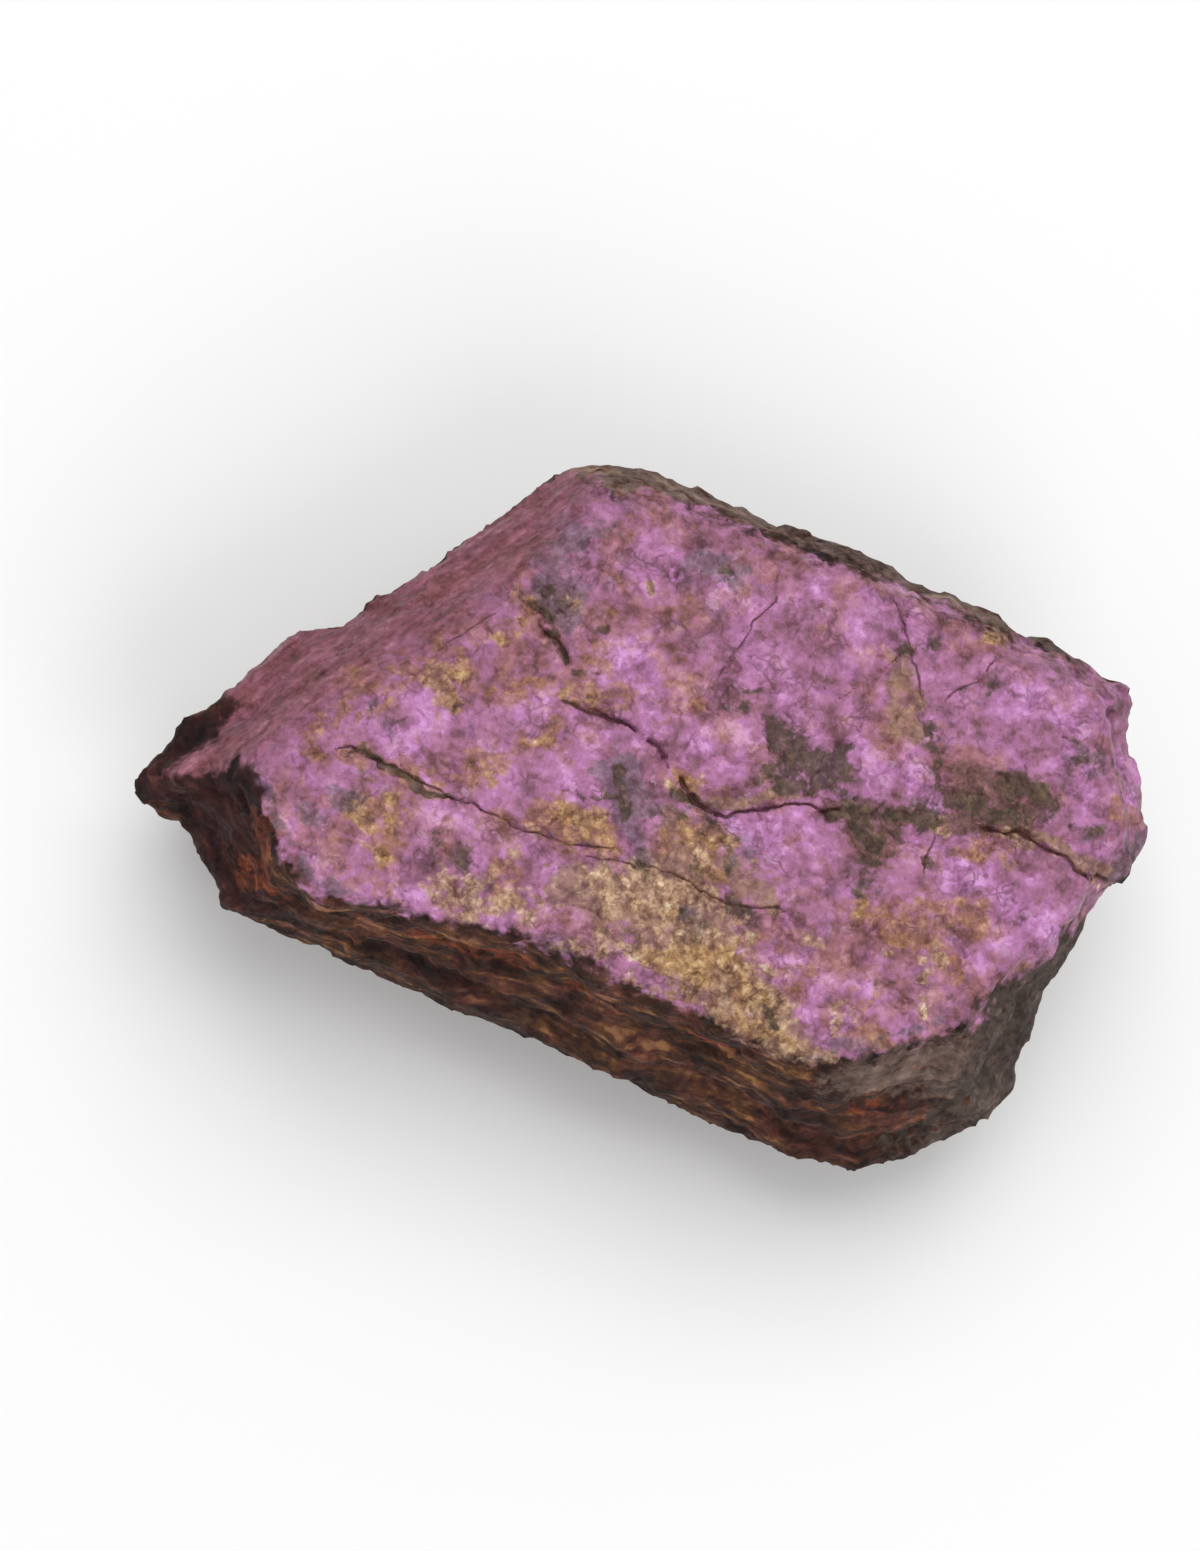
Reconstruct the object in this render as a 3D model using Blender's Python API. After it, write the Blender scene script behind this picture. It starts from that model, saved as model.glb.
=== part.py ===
"""Rough purpurite: one broken piece of the mineral, lying on its back with the purple cleavage face up.

The long side of the stone runs along X, the purple face looks up along Z, and the origin is on the
surface it rests on, under the middle of the stone. Sizes here are millimetres until the last step.
"""

import math

import bmesh
import bpy
from mathutils import Matrix, Vector, kdtree, noise

METRES_PER_MM = 0.001

# Driving sizes of the stone
LENGTH = 49.6
WIDTH = 29.9
HEIGHT = 19.0

# The outline, clockwise seen from above. Each row is one corner of the stone: first its rim point, on the
# widest outline, then its brow point above it, where the purple face breaks off.
LEFT_TIP = (
    ((-24.8, -8.7, 11.0), (-19.9, -8.0, 17.6)),
    ((-24.0, -7.1, 11.8), (-19.7, -7.4, 17.9)),
    ((-23.3, -5.1, 12.2), (-18.8, -6.2, 18.3)),
    ((-22.5, -4.0, 12.6), (-18.0, -5.2, 18.5)),
)
SHOULDER = (
    ((-21.0, -1.4, 13.0), (-17.2, -4.1, 18.7)),
    ((-19.4, 0.7, 13.2), (-16.4, -2.9, 18.8)),
    ((-18.5, 1.2, 13.3), (-15.6, -1.9, 18.9)),
    ((-17.0, 3.7, 13.5), (-14.4, -0.4, 19.0)),
    ((-14.5, 6.4, 13.7), (-12.6, 1.8, 19.0)),
    ((-12.1, 9.8, 14.0), (-10.6, 4.4, 19.0)),
    ((-10.5, 12.4, 14.0), (-9.5, 6.9, 18.9)),
)
BACK_EDGE = (
    ((-9.0, 14.0, 14.0), (-9.2, 8.9, 18.7)),
    ((-7.2, 15.0, 14.0), (-8.2, 10.8, 18.4)),
    ((-3.8, 15.1, 14.2), (-5.3, 12.2, 18.2)),
    ((0.6, 14.8, 14.4), (-0.8, 12.1, 18.2)),
    ((4.2, 15.2, 14.4), (3.3, 11.8, 18.3)),
    ((8.7, 14.4, 14.4), (7.3, 11.8, 18.3)),
    ((11.7, 14.2, 14.4), (10.4, 11.3, 18.3)),
    ((14.1, 13.8, 14.4), (12.8, 11.3, 18.3)),
    ((15.5, 13.0, 14.4), (14.2, 10.9, 18.3)),
    ((18.5, 13.5, 14.4), (16.9, 11.1, 18.2)),
)
RIGHT_END = (
    ((22.2, 12.8, 14.6), (20.3, 10.3, 18.0)),
    ((22.5, 10.4, 14.6), (20.6, 8.7, 18.0)),
    ((23.7, 8.1, 14.4), (22.0, 6.4, 18.0)),
    ((24.6, 6.0, 14.0), (22.9, 4.6, 18.0)),
    ((24.8, 4.6, 13.0), (22.6, 3.1, 17.9)),
)
DARK_CORNER = (
    ((24.2, 2.9, 12.0), (21.8, 1.2, 17.9)),
    ((23.5, -0.1, 11.0), (20.6, -2.1, 17.9)),
    ((23.0, -2.5, 10.4), (19.0, -5.0, 17.9)),
    ((23.1, -5.5, 9.8), (18.4, -6.7, 17.9)),
    ((22.8, -6.9, 9.2), (18.2, -8.0, 17.9)),
    ((23.5, -8.2, 8.6), (17.1, -9.1, 17.8)),
    ((22.9, -10.9, 8.0), (15.8, -10.0, 17.8)),
)
LONG_SIDE = (
    ((20.3, -12.2, 7.8), (14.2, -10.9, 17.8)),
    ((16.4, -14.9, 7.6), (11.6, -12.0, 17.9)),
    ((13.5, -14.9, 7.8), (8.8, -12.3, 18.0)),
    ((7.9, -14.1, 8.2), (4.9, -11.7, 18.1)),
    ((2.3, -14.0, 8.6), (0.0, -11.3, 18.2)),
    ((-3.2, -13.8, 9.0), (-4.9, -11.3, 18.2)),
    ((-8.7, -13.3, 9.2), (-10.0, -11.7, 18.2)),
    ((-14.2, -13.0, 9.4), (-14.4, -12.5, 18.1)),
)
LEFT_END = (
    ((-18.4, -13.2, 9.4), (-15.8, -12.3, 18.0)),
    ((-18.9, -12.2, 9.5), (-16.5, -11.6, 17.9)),
    ((-20.4, -10.9, 9.8), (-17.7, -10.0, 17.8)),
    ((-21.9, -9.6, 10.2), (-18.8, -8.7, 17.7)),
    ((-24.2, -9.8, 10.7), (-19.5, -8.3, 17.6)),
)
OUTLINE = LEFT_TIP + SHOULDER + BACK_EDGE + RIGHT_END + DARK_CORNER + LONG_SIDE + LEFT_END

# Below the rim the block goes down, a little inwards, until the cuts below trim it
KEEL_SCALE = 0.95
KEEL_Z = -1.2

# Planes that broke the underside: the heading each one faces, anticlockwise from +X, its slope from the
# level, and how far from the middle it meets the resting surface
UNDERSIDE_CUTS = (
    (198, 17, 6.0),
    (22, 20, 7.5),
    (292, 15, 3.2),
    (118, 24, 3.4),
    (336, 31, 11.0),
    (84, 57, 9.2),
    (137, 49, 9.5),
    (176, 40, 16.0),
    (222, 52, 16.2),
    (262, 47, 9.8),
    (309, 50, 16.8),
    (4, 52, 18.6),
    (48, 41, 15.0),
)
CUT_TOLERANCE = 0.00001
DECIMALS = 3

# Cracks in the purple face, as lines seen from above: (points, half width, depth)
CRACKS = (
    (((-17.2, -6.0), (-15.0, -5.2), (-13.1, -5.5), (-9.4, -5.9), (-6.6, -6.1), (-3.9, -6.1),
      (-1.3, -5.5), (2.0, -5.5), (5.7, -5.9), (9.9, -4.7)), 0.38, 0.7),
    (((-6.4, 0.7), (-4.3, 0.8), (-2.4, 0.5), (-0.6, -0.3), (1.6, -1.8), (2.5, -2.0), (5.5, -0.7),
      (7.1, 0.1), (9.8, 0.3), (13.3, 1.1), (15.9, 1.9), (19.7, 1.8), (22.9, 1.5)), 0.42, 0.9),
    (((2.4, 10.9), (2.1, 9.3), (1.2, 6.9), (0.8, 4.7), (0.9, 3.4)), 0.34, 0.5),
    (((8.1, 12.5), (9.4, 9.6), (11.3, 6.6), (11.9, 5.2)), 0.36, 0.6),
    (((9.5, 9.5), (7.9, 7.5), (6.7, 5.3)), 0.32, 0.45),
    (((13.6, 10.2), (13.5, 9.1), (12.3, 7.3)), 0.32, 0.45),
    (((-8.7, 4.5), (-7.8, 3.7), (-6.8, 2.7)), 0.4, 0.65),
)
CRACK_POINT_SPACING = 0.08
CRACK_TAPER = 0.12
CRACK_LIP = 0.28
CRACK_LIP_FADE = 1.8

# Hollows knocked out of the surface, each a line with a radius and a depth
HOLLOWS = (
    ((-23.6, -6.9, 13.0), (-20.8, -3.4, 14.8), 1.3, 0.75),
    ((4.7, 2.9, 18.6), (6.6, 1.6, 18.6), 2.0, 0.35),
    ((10.1, 0.6, 18.4), (18.4, 3.6, 18.2), 1.9, 0.4),
    ((-9.0, 6.6, 18.8), (-8.2, 5.0, 18.8), 1.3, 0.35),
    ((20.6, -3.6, 14.0), (20.8, -7.4, 12.0), 1.8, 0.6),
    ((-20.9, -10.2, 14.4), (-17.4, -12.0, 13.6), 1.5, 0.6),
    ((-6.0, 6.0, 0.8), (2.0, 9.6, 2.6), 3.0, 1.0),
    ((9.0, -9.4, 2.0), (15.4, -6.0, 1.8), 2.4, 0.8),
)
HOLLOW_FLOOR = 0.2

# Broken surface: flat chips that each lean their own way, as (size of a chip, depth), and a fine grain
CHIPS = ((6.5, 1.5), (2.8, 0.6))
CHIPS_ON_FACE = ((5.0, 0.34), (2.2, 0.14))
GRAIN_SIZE = 1.5
GRAIN_DEPTH = 0.12
GRAIN_ON_FACE = 0.04
GRAIN_ROUGHNESS = 0.9
GRAIN_OCTAVES = 3
SHOULDER_CALM = 0.6

# The thin left tip keeps its shape: the break calms down towards it
TIP = Vector((-25.0, -8.9, 10.8))
TIP_CALM = (0.5, 5.0)

# How far the normals of the face, the long side and the shoulder lean: (where each one starts, where it is
# fully itself)
FACE_LOOKS_UP = (0.75, 0.93)
SIDE_STANDS = (0.8, 0.55)
SIDE_LOOKS_FORWARD = (0.1, 0.5)
SHOULDER_LOOKS_UP = (0.2, 0.5)
SHOULDER_LOOKS_LEFT = (0.1, 0.4)

# Beds of the long side and the two ends: each stands out or draws back by a different amount
BED_THICKNESS = 1.9
BED_STEP = 0.8
BED_DIP = 0.05
BED_WAVE = 0.7
BED_WAVELENGTH = 8.0
BED_JOINT = 0.3
BED_DRAW = Vector((5.5, 2.5, 0.5))

# Low steps that run along the shoulder
STREAK_ALONG = Vector((0.58, 0.81, 0.0))
STREAK_ACROSS = Vector((0.81, -0.58, 0.0))
STREAK_SPACING = 1.25
STREAK_LENGTH = 7.0
STREAK_DEPTH = 0.28

# Crumbling crust in the purple face near the long side
CRUST_AT = (Vector((-1.0, -9.2, 18.2)), Vector((9.6, -9.6, 18.2)))
CRUST_RADIUS = 3.0
CRUST_CORE = 1.2
CRUST_CRUMB = 1.1
CRUST_DEPTH = 0.5

# The soft ridge between the shoulder and the purple face
RIDGE = (Vector((-18.8, -6.2, 18.3)), Vector((-14.4, -0.4, 19.0)), Vector((-8.8, 10.2, 18.6)))
RIDGE_RADIUS = 2.4
RIDGE_ROUNDS = 5

# Longest edges of the mesh, the grid that its skin is drawn on, and the triangles that the stone keeps
EDGE_ABOVE = 0.85
EDGE_BELOW = 1.3
EDGE_IN_CRACK = 0.3
CRACK_MARGIN = 0.6
LOW_PART = (4.0, 10.0)
FACE_FROM_Z = 16.5
SPLIT_ROUNDS = 14
SKIN_GRID = 0.22
TRIANGLES_KEPT = 9800

STONE_COLOUR = (0.30, 0.10, 0.27, 1.0)
STONE_ROUGHNESS = 0.62


def clear_scene():
    for thing in list(bpy.data.objects):
        bpy.data.objects.remove(thing)


def smooth_step(low, high, value):
    share = min(1.0, max(0.0, (value - low) / (high - low)))
    return share * share * (3.0 - 2.0 * share)


def distance_to_line(point, start, end):
    """How far a point is from a straight stretch."""
    along = end - start
    share = min(1.0, max(0.0, (point - start).dot(along) / along.length_squared))
    return (point - start - along * share).length


def add_ring(bm, points):
    corners = [bm.verts.new(point) for point in points]
    return [bm.edges.new(pair) for pair in zip(corners, corners[1:] + corners[:1])]


def rough_block():
    """The block from the brow down: two bridged outlines, and a keel under them, closed at both ends."""
    bm = bmesh.new()
    rim = add_ring(bm, [row[0] for row in OUTLINE])
    brow = add_ring(bm, [row[1] for row in OUTLINE])
    bmesh.ops.bridge_loops(bm, edges=rim + brow)
    bmesh.ops.edgeloop_fill(bm, edges=brow)
    keel = bmesh.ops.extrude_edge_only(bm, edges=rim)["geom"]
    for corner in (part for part in keel if isinstance(part, bmesh.types.BMVert)):
        corner.co = Vector((corner.co.x * KEEL_SCALE, corner.co.y * KEEL_SCALE, KEEL_Z))
    bmesh.ops.edgeloop_fill(bm, edges=[part for part in keel if isinstance(part, bmesh.types.BMEdge)])
    bmesh.ops.recalc_face_normals(bm, faces=bm.faces[:])
    return bm


def break_along(bm, point, outward):
    """Everything on the outward side of a plane is broken away, and the break is closed."""
    parts = bm.verts[:] + bm.edges[:] + bm.faces[:]
    cut = bmesh.ops.bisect_plane(
        bm, geom=parts, dist=CUT_TOLERANCE, plane_co=point, plane_no=outward, clear_outer=True)
    edges = [part for part in cut["geom_cut"] if isinstance(part, bmesh.types.BMEdge)]
    bmesh.ops.edgeloop_fill(bm, edges=edges)


def break_underside(bm):
    for heading, slope, reach in UNDERSIDE_CUTS:
        turn, lean = math.radians(heading), math.radians(slope)
        side = Vector((math.cos(turn), math.sin(turn), 0.0))
        outward = side * math.sin(lean) - Vector((0.0, 0.0, math.cos(lean)))
        break_along(bm, side * reach, outward)


def put_in_order(bm):
    """Corners and faces get one fixed order and rounded places, so that every run gives the same stone."""
    corners = sorted(bm.verts, key=lambda corner: [round(value, DECIMALS) for value in corner.co])
    places = [[round(value, DECIMALS) for value in corner.co] for corner in corners]
    for index, corner in enumerate(corners):
        corner.index = index
    rows = []
    for face in bm.faces:
        row = [corner.index for corner in face.verts]
        first = row.index(min(row))
        rows.append(row[first:] + row[:first])
    bm.clear()
    corners = [bm.verts.new(place) for place in places]
    for row in sorted(rows):
        bm.faces.new([corners[index] for index in row])


def crack_tree():
    """Points along every crack in a search tree, and what each one stands for: (along, half width, depth)."""
    points, facts = [], []
    for line, half_width, depth in CRACKS:
        corners = [Vector((x, y, 0.0)) for x, y in line]
        lengths = [(end - start).length for start, end in zip(corners, corners[1:])]
        passed = 0.0
        for start, end, length in zip(corners, corners[1:], lengths):
            steps = max(1, round(length / CRACK_POINT_SPACING))
            for step in range(steps):
                share = (passed + length * step / steps) / sum(lengths)
                taper = smooth_step(0.0, CRACK_TAPER, min(share, 1.0 - share))
                points.append(start.lerp(end, step / steps))
                facts.append(((end - start).normalized(), half_width, depth * taper))
            passed += length
    tree = kdtree.KDTree(len(points))
    for index, point in enumerate(points):
        tree.insert(point, index)
    tree.balance()
    return tree, facts


CRACK_TREE, CRACK_FACTS = crack_tree()


def nearest_crack(place):
    """The nearest crack point seen from above: its place, its distance, and what it stands for."""
    point, index, away = CRACK_TREE.find((place.x, place.y, 0.0))
    return point, away, CRACK_FACTS[index]


def longest_edge(place):
    if place.z > FACE_FROM_Z and nearest_crack(place)[1] < CRACK_MARGIN:
        return EDGE_IN_CRACK
    return EDGE_BELOW + (EDGE_ABOVE - EDGE_BELOW) * smooth_step(*LOW_PART, place.z)


def split_long_edges(bm):
    """Edges are halved until none is longer than its place allows."""
    for _ in range(SPLIT_ROUNDS):
        long_ones = [
            edge for edge in bm.edges
            if edge.calc_length() > longest_edge((edge.verts[0].co + edge.verts[1].co) / 2.0)
        ]
        if not long_ones:
            return
        bmesh.ops.subdivide_edges(bm, edges=long_ones, cuts=1)
        bmesh.ops.triangulate(bm, faces=[face for face in bm.faces if len(face.verts) > 3])


def soften_ridge(bm):
    near = [
        corner for corner in bm.verts
        if min(distance_to_line(corner.co, *ends) for ends in zip(RIDGE, RIDGE[1:])) < RIDGE_RADIUS
    ]
    for _ in range(RIDGE_ROUNDS):
        bmesh.ops.smooth_vert(bm, verts=near, factor=0.5, use_axis_x=True, use_axis_y=True, use_axis_z=True)


def chips(place, sizes):
    """Flat chips left by the break. Each leans its own way, so that neighbours meet in a ridge or a step."""
    height = 0.0
    for size, depth in sizes:
        spot = place / size
        middle = noise.voronoi(spot)[1][0]
        lean = noise.cell_vector(middle) - Vector((0.5, 0.5, 0.5))
        height += depth * lean.dot(spot - middle)
    return height


def beds(place):
    """Ledges of the layered sides."""
    wave = BED_WAVE * noise.noise(place / BED_WAVELENGTH)
    level = (place.z + BED_DIP * place.x + wave) / BED_THICKNESS
    bed = math.floor(level)
    below, own = (noise.cell(BED_DRAW + Vector((0.0, 0.0, bed + step))) - 0.5 for step in (-1, 0))
    return BED_STEP * (below + (own - below) * smooth_step(0.0, BED_JOINT, level - bed))


def streaks(place):
    """Low steps along the shoulder, each as long as a few of its widths."""
    across = place.dot(STREAK_ACROSS) / STREAK_SPACING
    along = place.dot(STREAK_ALONG) / STREAK_LENGTH
    return STREAK_DEPTH * noise.noise(Vector((across, along, place.z / STREAK_LENGTH)))


def hollows(place):
    depth = 0.0
    for start, end, radius, deepest in HOLLOWS:
        reach = distance_to_line(place, Vector(start), Vector(end)) / radius
        depth += deepest * smooth_step(1.0, HOLLOW_FLOOR, reach)
    return -depth


def cracks(place):
    """A groove along each crack, and a raised lip on the far side of it."""
    point, away, (along, half_width, depth) = nearest_crack(place)
    groove = depth * max(0.0, 1.0 - away / half_width)
    left_side = along.cross(place - point).z > 0.0
    lip = left_side * CRACK_LIP * depth * math.exp(-away / CRACK_LIP_FADE)
    return lip - groove


def crust(place):
    share = smooth_step(CRUST_RADIUS, CRUST_CORE, distance_to_line(place, *CRUST_AT))
    return share * CRUST_DEPTH * noise.noise(place / CRUST_CRUMB)


def relief(place, normal):
    """How far the finished surface stands out from the plain block, from where it is and how it faces."""
    on_face = smooth_step(*FACE_LOOKS_UP, normal.z)
    on_long_side = smooth_step(*SIDE_STANDS, abs(normal.z)) * smooth_step(*SIDE_LOOKS_FORWARD, -normal.y)
    looks_left = smooth_step(*SHOULDER_LOOKS_LEFT, normal.dot(-STREAK_ACROSS))
    on_shoulder = smooth_step(*SHOULDER_LOOKS_UP, normal.z) * looks_left
    grain = noise.fractal(place / GRAIN_SIZE, GRAIN_ROUGHNESS, 2.0, GRAIN_OCTAVES)
    rough = chips(place, CHIPS) * (1.0 - SHOULDER_CALM * on_shoulder) + GRAIN_DEPTH * grain
    rough += beds(place) * on_long_side + streaks(place) * on_shoulder
    calm = chips(place, CHIPS_ON_FACE) + GRAIN_ON_FACE * grain + cracks(place) + crust(place)
    away_from_tip = smooth_step(*TIP_CALM, (place - TIP).length)
    return (rough + (calm - rough) * on_face) * away_from_tip + hollows(place)


def weather(bm):
    """The plain block gets its broken surface."""
    bm.normal_update()
    moves = [(corner, corner.normal * relief(corner.co, corner.normal)) for corner in bm.verts]
    for corner, move in moves:
        corner.co += move


def with_modifier(bm, kind, **settings):
    """The mesh as one of Blender's modifiers leaves it."""
    mesh = bpy.data.meshes.new("unfinished stone")
    bm.to_mesh(mesh)
    unfinished = bpy.data.objects.new("unfinished stone", mesh)
    bpy.context.scene.collection.objects.link(unfinished)
    modifier = unfinished.modifiers.new(kind, kind)
    for name, value in settings.items():
        setattr(modifier, name, value)
    bm.clear()
    bm.from_object(unfinished, bpy.context.evaluated_depsgraph_get())
    bpy.data.objects.remove(unfinished)
    bpy.data.meshes.remove(mesh)


def close_up(bm):
    """One skin round the whole stone, without the folds that the relief leaves at sharp corners."""
    with_modifier(bm, "REMESH", mode="VOXEL", voxel_size=SKIN_GRID)
    bmesh.ops.triangulate(bm, faces=bm.faces[:])


def thin_out(bm):
    """Triangles are merged where the surface is plain, and kept along its edges and cracks."""
    with_modifier(bm, "DECIMATE", ratio=TRIANGLES_KEPT / len(bm.faces))


def set_size(bm):
    """The stone gets its stated length, width and height, centred over the origin."""
    low = Vector(min(corner.co[axis] for corner in bm.verts) for axis in range(3))
    high = Vector(max(corner.co[axis] for corner in bm.verts) for axis in range(3))
    size = high - low
    middle = (low + high) / 2.0
    bmesh.ops.translate(bm, verts=bm.verts[:], vec=(-middle.x, -middle.y, -low.z))
    stretch = (LENGTH / size.x, WIDTH / size.y, HEIGHT / size.z)
    bmesh.ops.scale(bm, verts=bm.verts[:], vec=stretch)


def stone_material():
    material = bpy.data.materials.new("purpurite")
    material.use_nodes = True
    shader = material.node_tree.nodes["Principled BSDF"]
    shader.inputs["Base Color"].default_value = STONE_COLOUR
    shader.inputs["Roughness"].default_value = STONE_ROUGHNESS
    shader.inputs["Metallic"].default_value = 0.0
    return material


def make_stone():
    bm = rough_block()
    break_underside(bm)
    put_in_order(bm)
    bmesh.ops.triangulate(bm, faces=bm.faces[:])
    split_long_edges(bm)
    soften_ridge(bm)
    weather(bm)
    close_up(bm)
    thin_out(bm)
    break_along(bm, Vector(), Vector((0.0, 0.0, -1.0)))
    set_size(bm)
    put_in_order(bm)
    bmesh.ops.triangulate(bm, faces=bm.faces[:])
    bmesh.ops.recalc_face_normals(bm, faces=bm.faces[:])
    bmesh.ops.transform(bm, matrix=Matrix.Scale(METRES_PER_MM, 4), verts=bm.verts[:])
    mesh = bpy.data.meshes.new("purpurite_stone")
    bm.to_mesh(mesh)
    bm.free()
    stone = bpy.data.objects.new("purpurite_stone", mesh)
    bpy.context.scene.collection.objects.link(stone)
    mesh.materials.append(stone_material())


clear_scene()
make_stone()
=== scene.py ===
"""Rough purpurite: the finished skin of the stone, with the camera, the light and the floor.

The stone lies as its solid does, with the purple face up. Places on the stone are millimetres in its own
frame. Places in the picture are millimetres to the right of and above its middle, at the stone's own scale.
"""

import math

import bmesh
import bpy
import numpy as np
from mathutils import Matrix, Vector, noise


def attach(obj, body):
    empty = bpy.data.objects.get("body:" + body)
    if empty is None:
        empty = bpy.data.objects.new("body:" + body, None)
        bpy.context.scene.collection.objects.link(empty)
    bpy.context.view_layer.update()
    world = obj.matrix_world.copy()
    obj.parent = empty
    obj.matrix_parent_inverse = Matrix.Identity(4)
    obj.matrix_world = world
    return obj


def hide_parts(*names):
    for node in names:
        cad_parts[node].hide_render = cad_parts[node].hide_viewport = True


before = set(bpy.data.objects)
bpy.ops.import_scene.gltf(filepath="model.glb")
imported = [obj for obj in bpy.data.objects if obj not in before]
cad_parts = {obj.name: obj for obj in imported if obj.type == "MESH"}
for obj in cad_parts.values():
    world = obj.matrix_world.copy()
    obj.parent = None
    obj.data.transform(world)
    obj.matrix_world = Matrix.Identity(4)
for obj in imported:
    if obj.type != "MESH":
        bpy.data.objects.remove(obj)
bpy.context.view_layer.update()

MM = 0.001
MERGE_DISTANCE = 0.0001 * MM
STONE_NAME = "rough_purpurite"

# The picture, its height in pixels, and the view that it shows
PICTURE_HEIGHT = 1551
PIXELS_PER_MM = 20.0
VIEW_AZIMUTH = math.radians(-22.0)
VIEW_ELEVATION = math.radians(74.0)
VIEW_ROLL = math.radians(41.0)
VIEW_DISTANCE = 300.0
AXIS_HEIGHT = 15.0
AXIS_SEEN_AT = (3.285, 0.245)
SENSOR_WIDTH = 36.0

# The border of the coloured face in the picture, round from its left end
FACE_BORDER = (
    (-17.5, 0.4), (-16.9, -0.3), (-16.6, -1.2), (-16.5, -2.1), (-16.1, -3.1), (-15.6, -4.1), (-15, -5.2),
    (-14.1, -6), (-12.5, -6.3), (-10.5, -6.5), (-9, -6.8), (-7.5, -7.2), (-6, -7.5), (-5, -7.9),
    (-3.5, -8.2), (-2.5, -8.7), (-1.2, -9.2), (0, -9.6), (2, -10.5), (3.5, -11.2), (6, -12.5),
    (7.5, -13.2), (9, -13.9), (10.5, -14.2), (12.5, -14.1), (14, -13.7), (16, -13.3), (17.5, -13.1),
    (18.8, -12.5), (19.2, -11.5), (20, -10.5), (21.5, -9.6), (22.8, -8.5), (24, -7.2), (25, -6),
    (25.6, -5.2), (26.4, -4.3), (27.1, -3.7), (28.5, -2.7), (28.5, 4.5), (26, 4.8), (24.5, 5.7),
    (23, 6), (21.5, 6.3), (20.2, 6.8), (19.2, 7.4), (18, 8.2), (16.5, 8.5), (15.2, 9.3), (14, 9.8),
    (12.5, 10.3), (11, 10.8), (9.5, 11.4), (8, 12), (6.5, 12.8), (5, 13.3), (3.5, 13.8), (2, 14.2),
    (0.5, 14.3), (-0.5, 14.8), (-2, 15.3), (-5, 13.9), (-8, 12.2), (-11, 10.2), (-15, 8.2),
    (-19.2, 4.6), (-18.1, 3.4), (-19.2, 2), (-20.5, 1), (-22.2, -0.1), (-21, 0.2), (-19.2, 0.2),
    (-18, 1),
)

# The soft ridge between the shoulder and the rest of the face, from the left end to the crown
SHOULDER_RIDGE = (
    (-18.2, 0), (-15, 1.9), (-13, 3.5), (-8.5, 6.5), (-5, 8.8), (-2.8, 10.8), (-0.5, 13.8),
    (0.6, 15.3),
)

# Cracks as the picture shows them: (points, half width, depth)
CRACKS = (
    (((-13.9, 1.3), (-12.8, 1.4), (-11.8, 1.2), (-10.7, 0.7), (-9.9, 0.2), (-8.5, -0.5),
      (-7.4, -1.1)), 0.05, 0.2),
    (((-8.5, -0.6), (-7.4, -1.1), (-6.2, -1.5), (-5, -2.2), (-3.8, -2.8), (-2, -3.2), (0.1, -3.6),
      (1.9, -3.7)), 0.06, 0.22),
    (((1.4, -3.9), (3.6, -5), (4.8, -5.5), (6, -6.1), (7.2, -6.6), (8.9, -6.7), (9.8, -7.3)), 0.06, 0.2),
    (((-2.2, 3.9), (-0.8, 3.3), (0.2, 3), (1.2, 2.6), (2.2, 2.1)), 0.11, 0.4),
    (((2.3, 1.9), (2.9, 1.4), (3.4, 0.8)), 0.12, 0.5),
    (((3.8, 0.2), (4.4, -0.7), (4.8, -1.3), (5.7, -1.8)), 0.09, 0.35),
    (((5, -1.6), (5.7, -1.8), (6.5, -2), (7.5, -1.8), (8.2, -1.8), (9.2, -1.4), (10.7, -1.6),
      (12.5, -1.8)), 0.08, 0.35),
    (((18.5, -2.5), (19.8, -2.7), (20.9, -2.9), (21.9, -3.4), (23.1, -3.9), (23.8, -4.5), (24.4, -5.1),
      (25.8, -5.2)), 0.1, 0.45),
    (((9.2, 10.8), (8.8, 8.8), (7.9, 7.7), (7, 6.5), (6, 4.9), (5.8, 4.3)), 0.055, 0.14),
    (((14.2, 9.8), (14.7, 8.8), (15.2, 7.7), (15.4, 6.7), (15.8, 5.5), (16, 4.3), (16.5, 2.8)), 0.06, 0.18),
    (((15.3, 6.4), (14.7, 5.8), (13.7, 5), (12.5, 4.1), (11.4, 3.6)), 0.045, 0.1),
    (((19.9, 6), (19.2, 5), (18, 4.3), (17, 3.4)), 0.05, 0.12),
    (((-3, 8), (-2.6, 7.3), (-1.8, 6.2), (-1.4, 5.4)), 0.08, 0.3),
    (((-1, -3.9), (0.6, -4.3), (2, -4.5)), 0.06, 0.15),
    (((17, -2.6), (16.3, -4), (16.2, -5.2)), 0.06, 0.15),
    (((-8.3, 6.1), (-6.6, 7.3), (-5, 8.2)), 0.05, 0.15),
)

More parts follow.
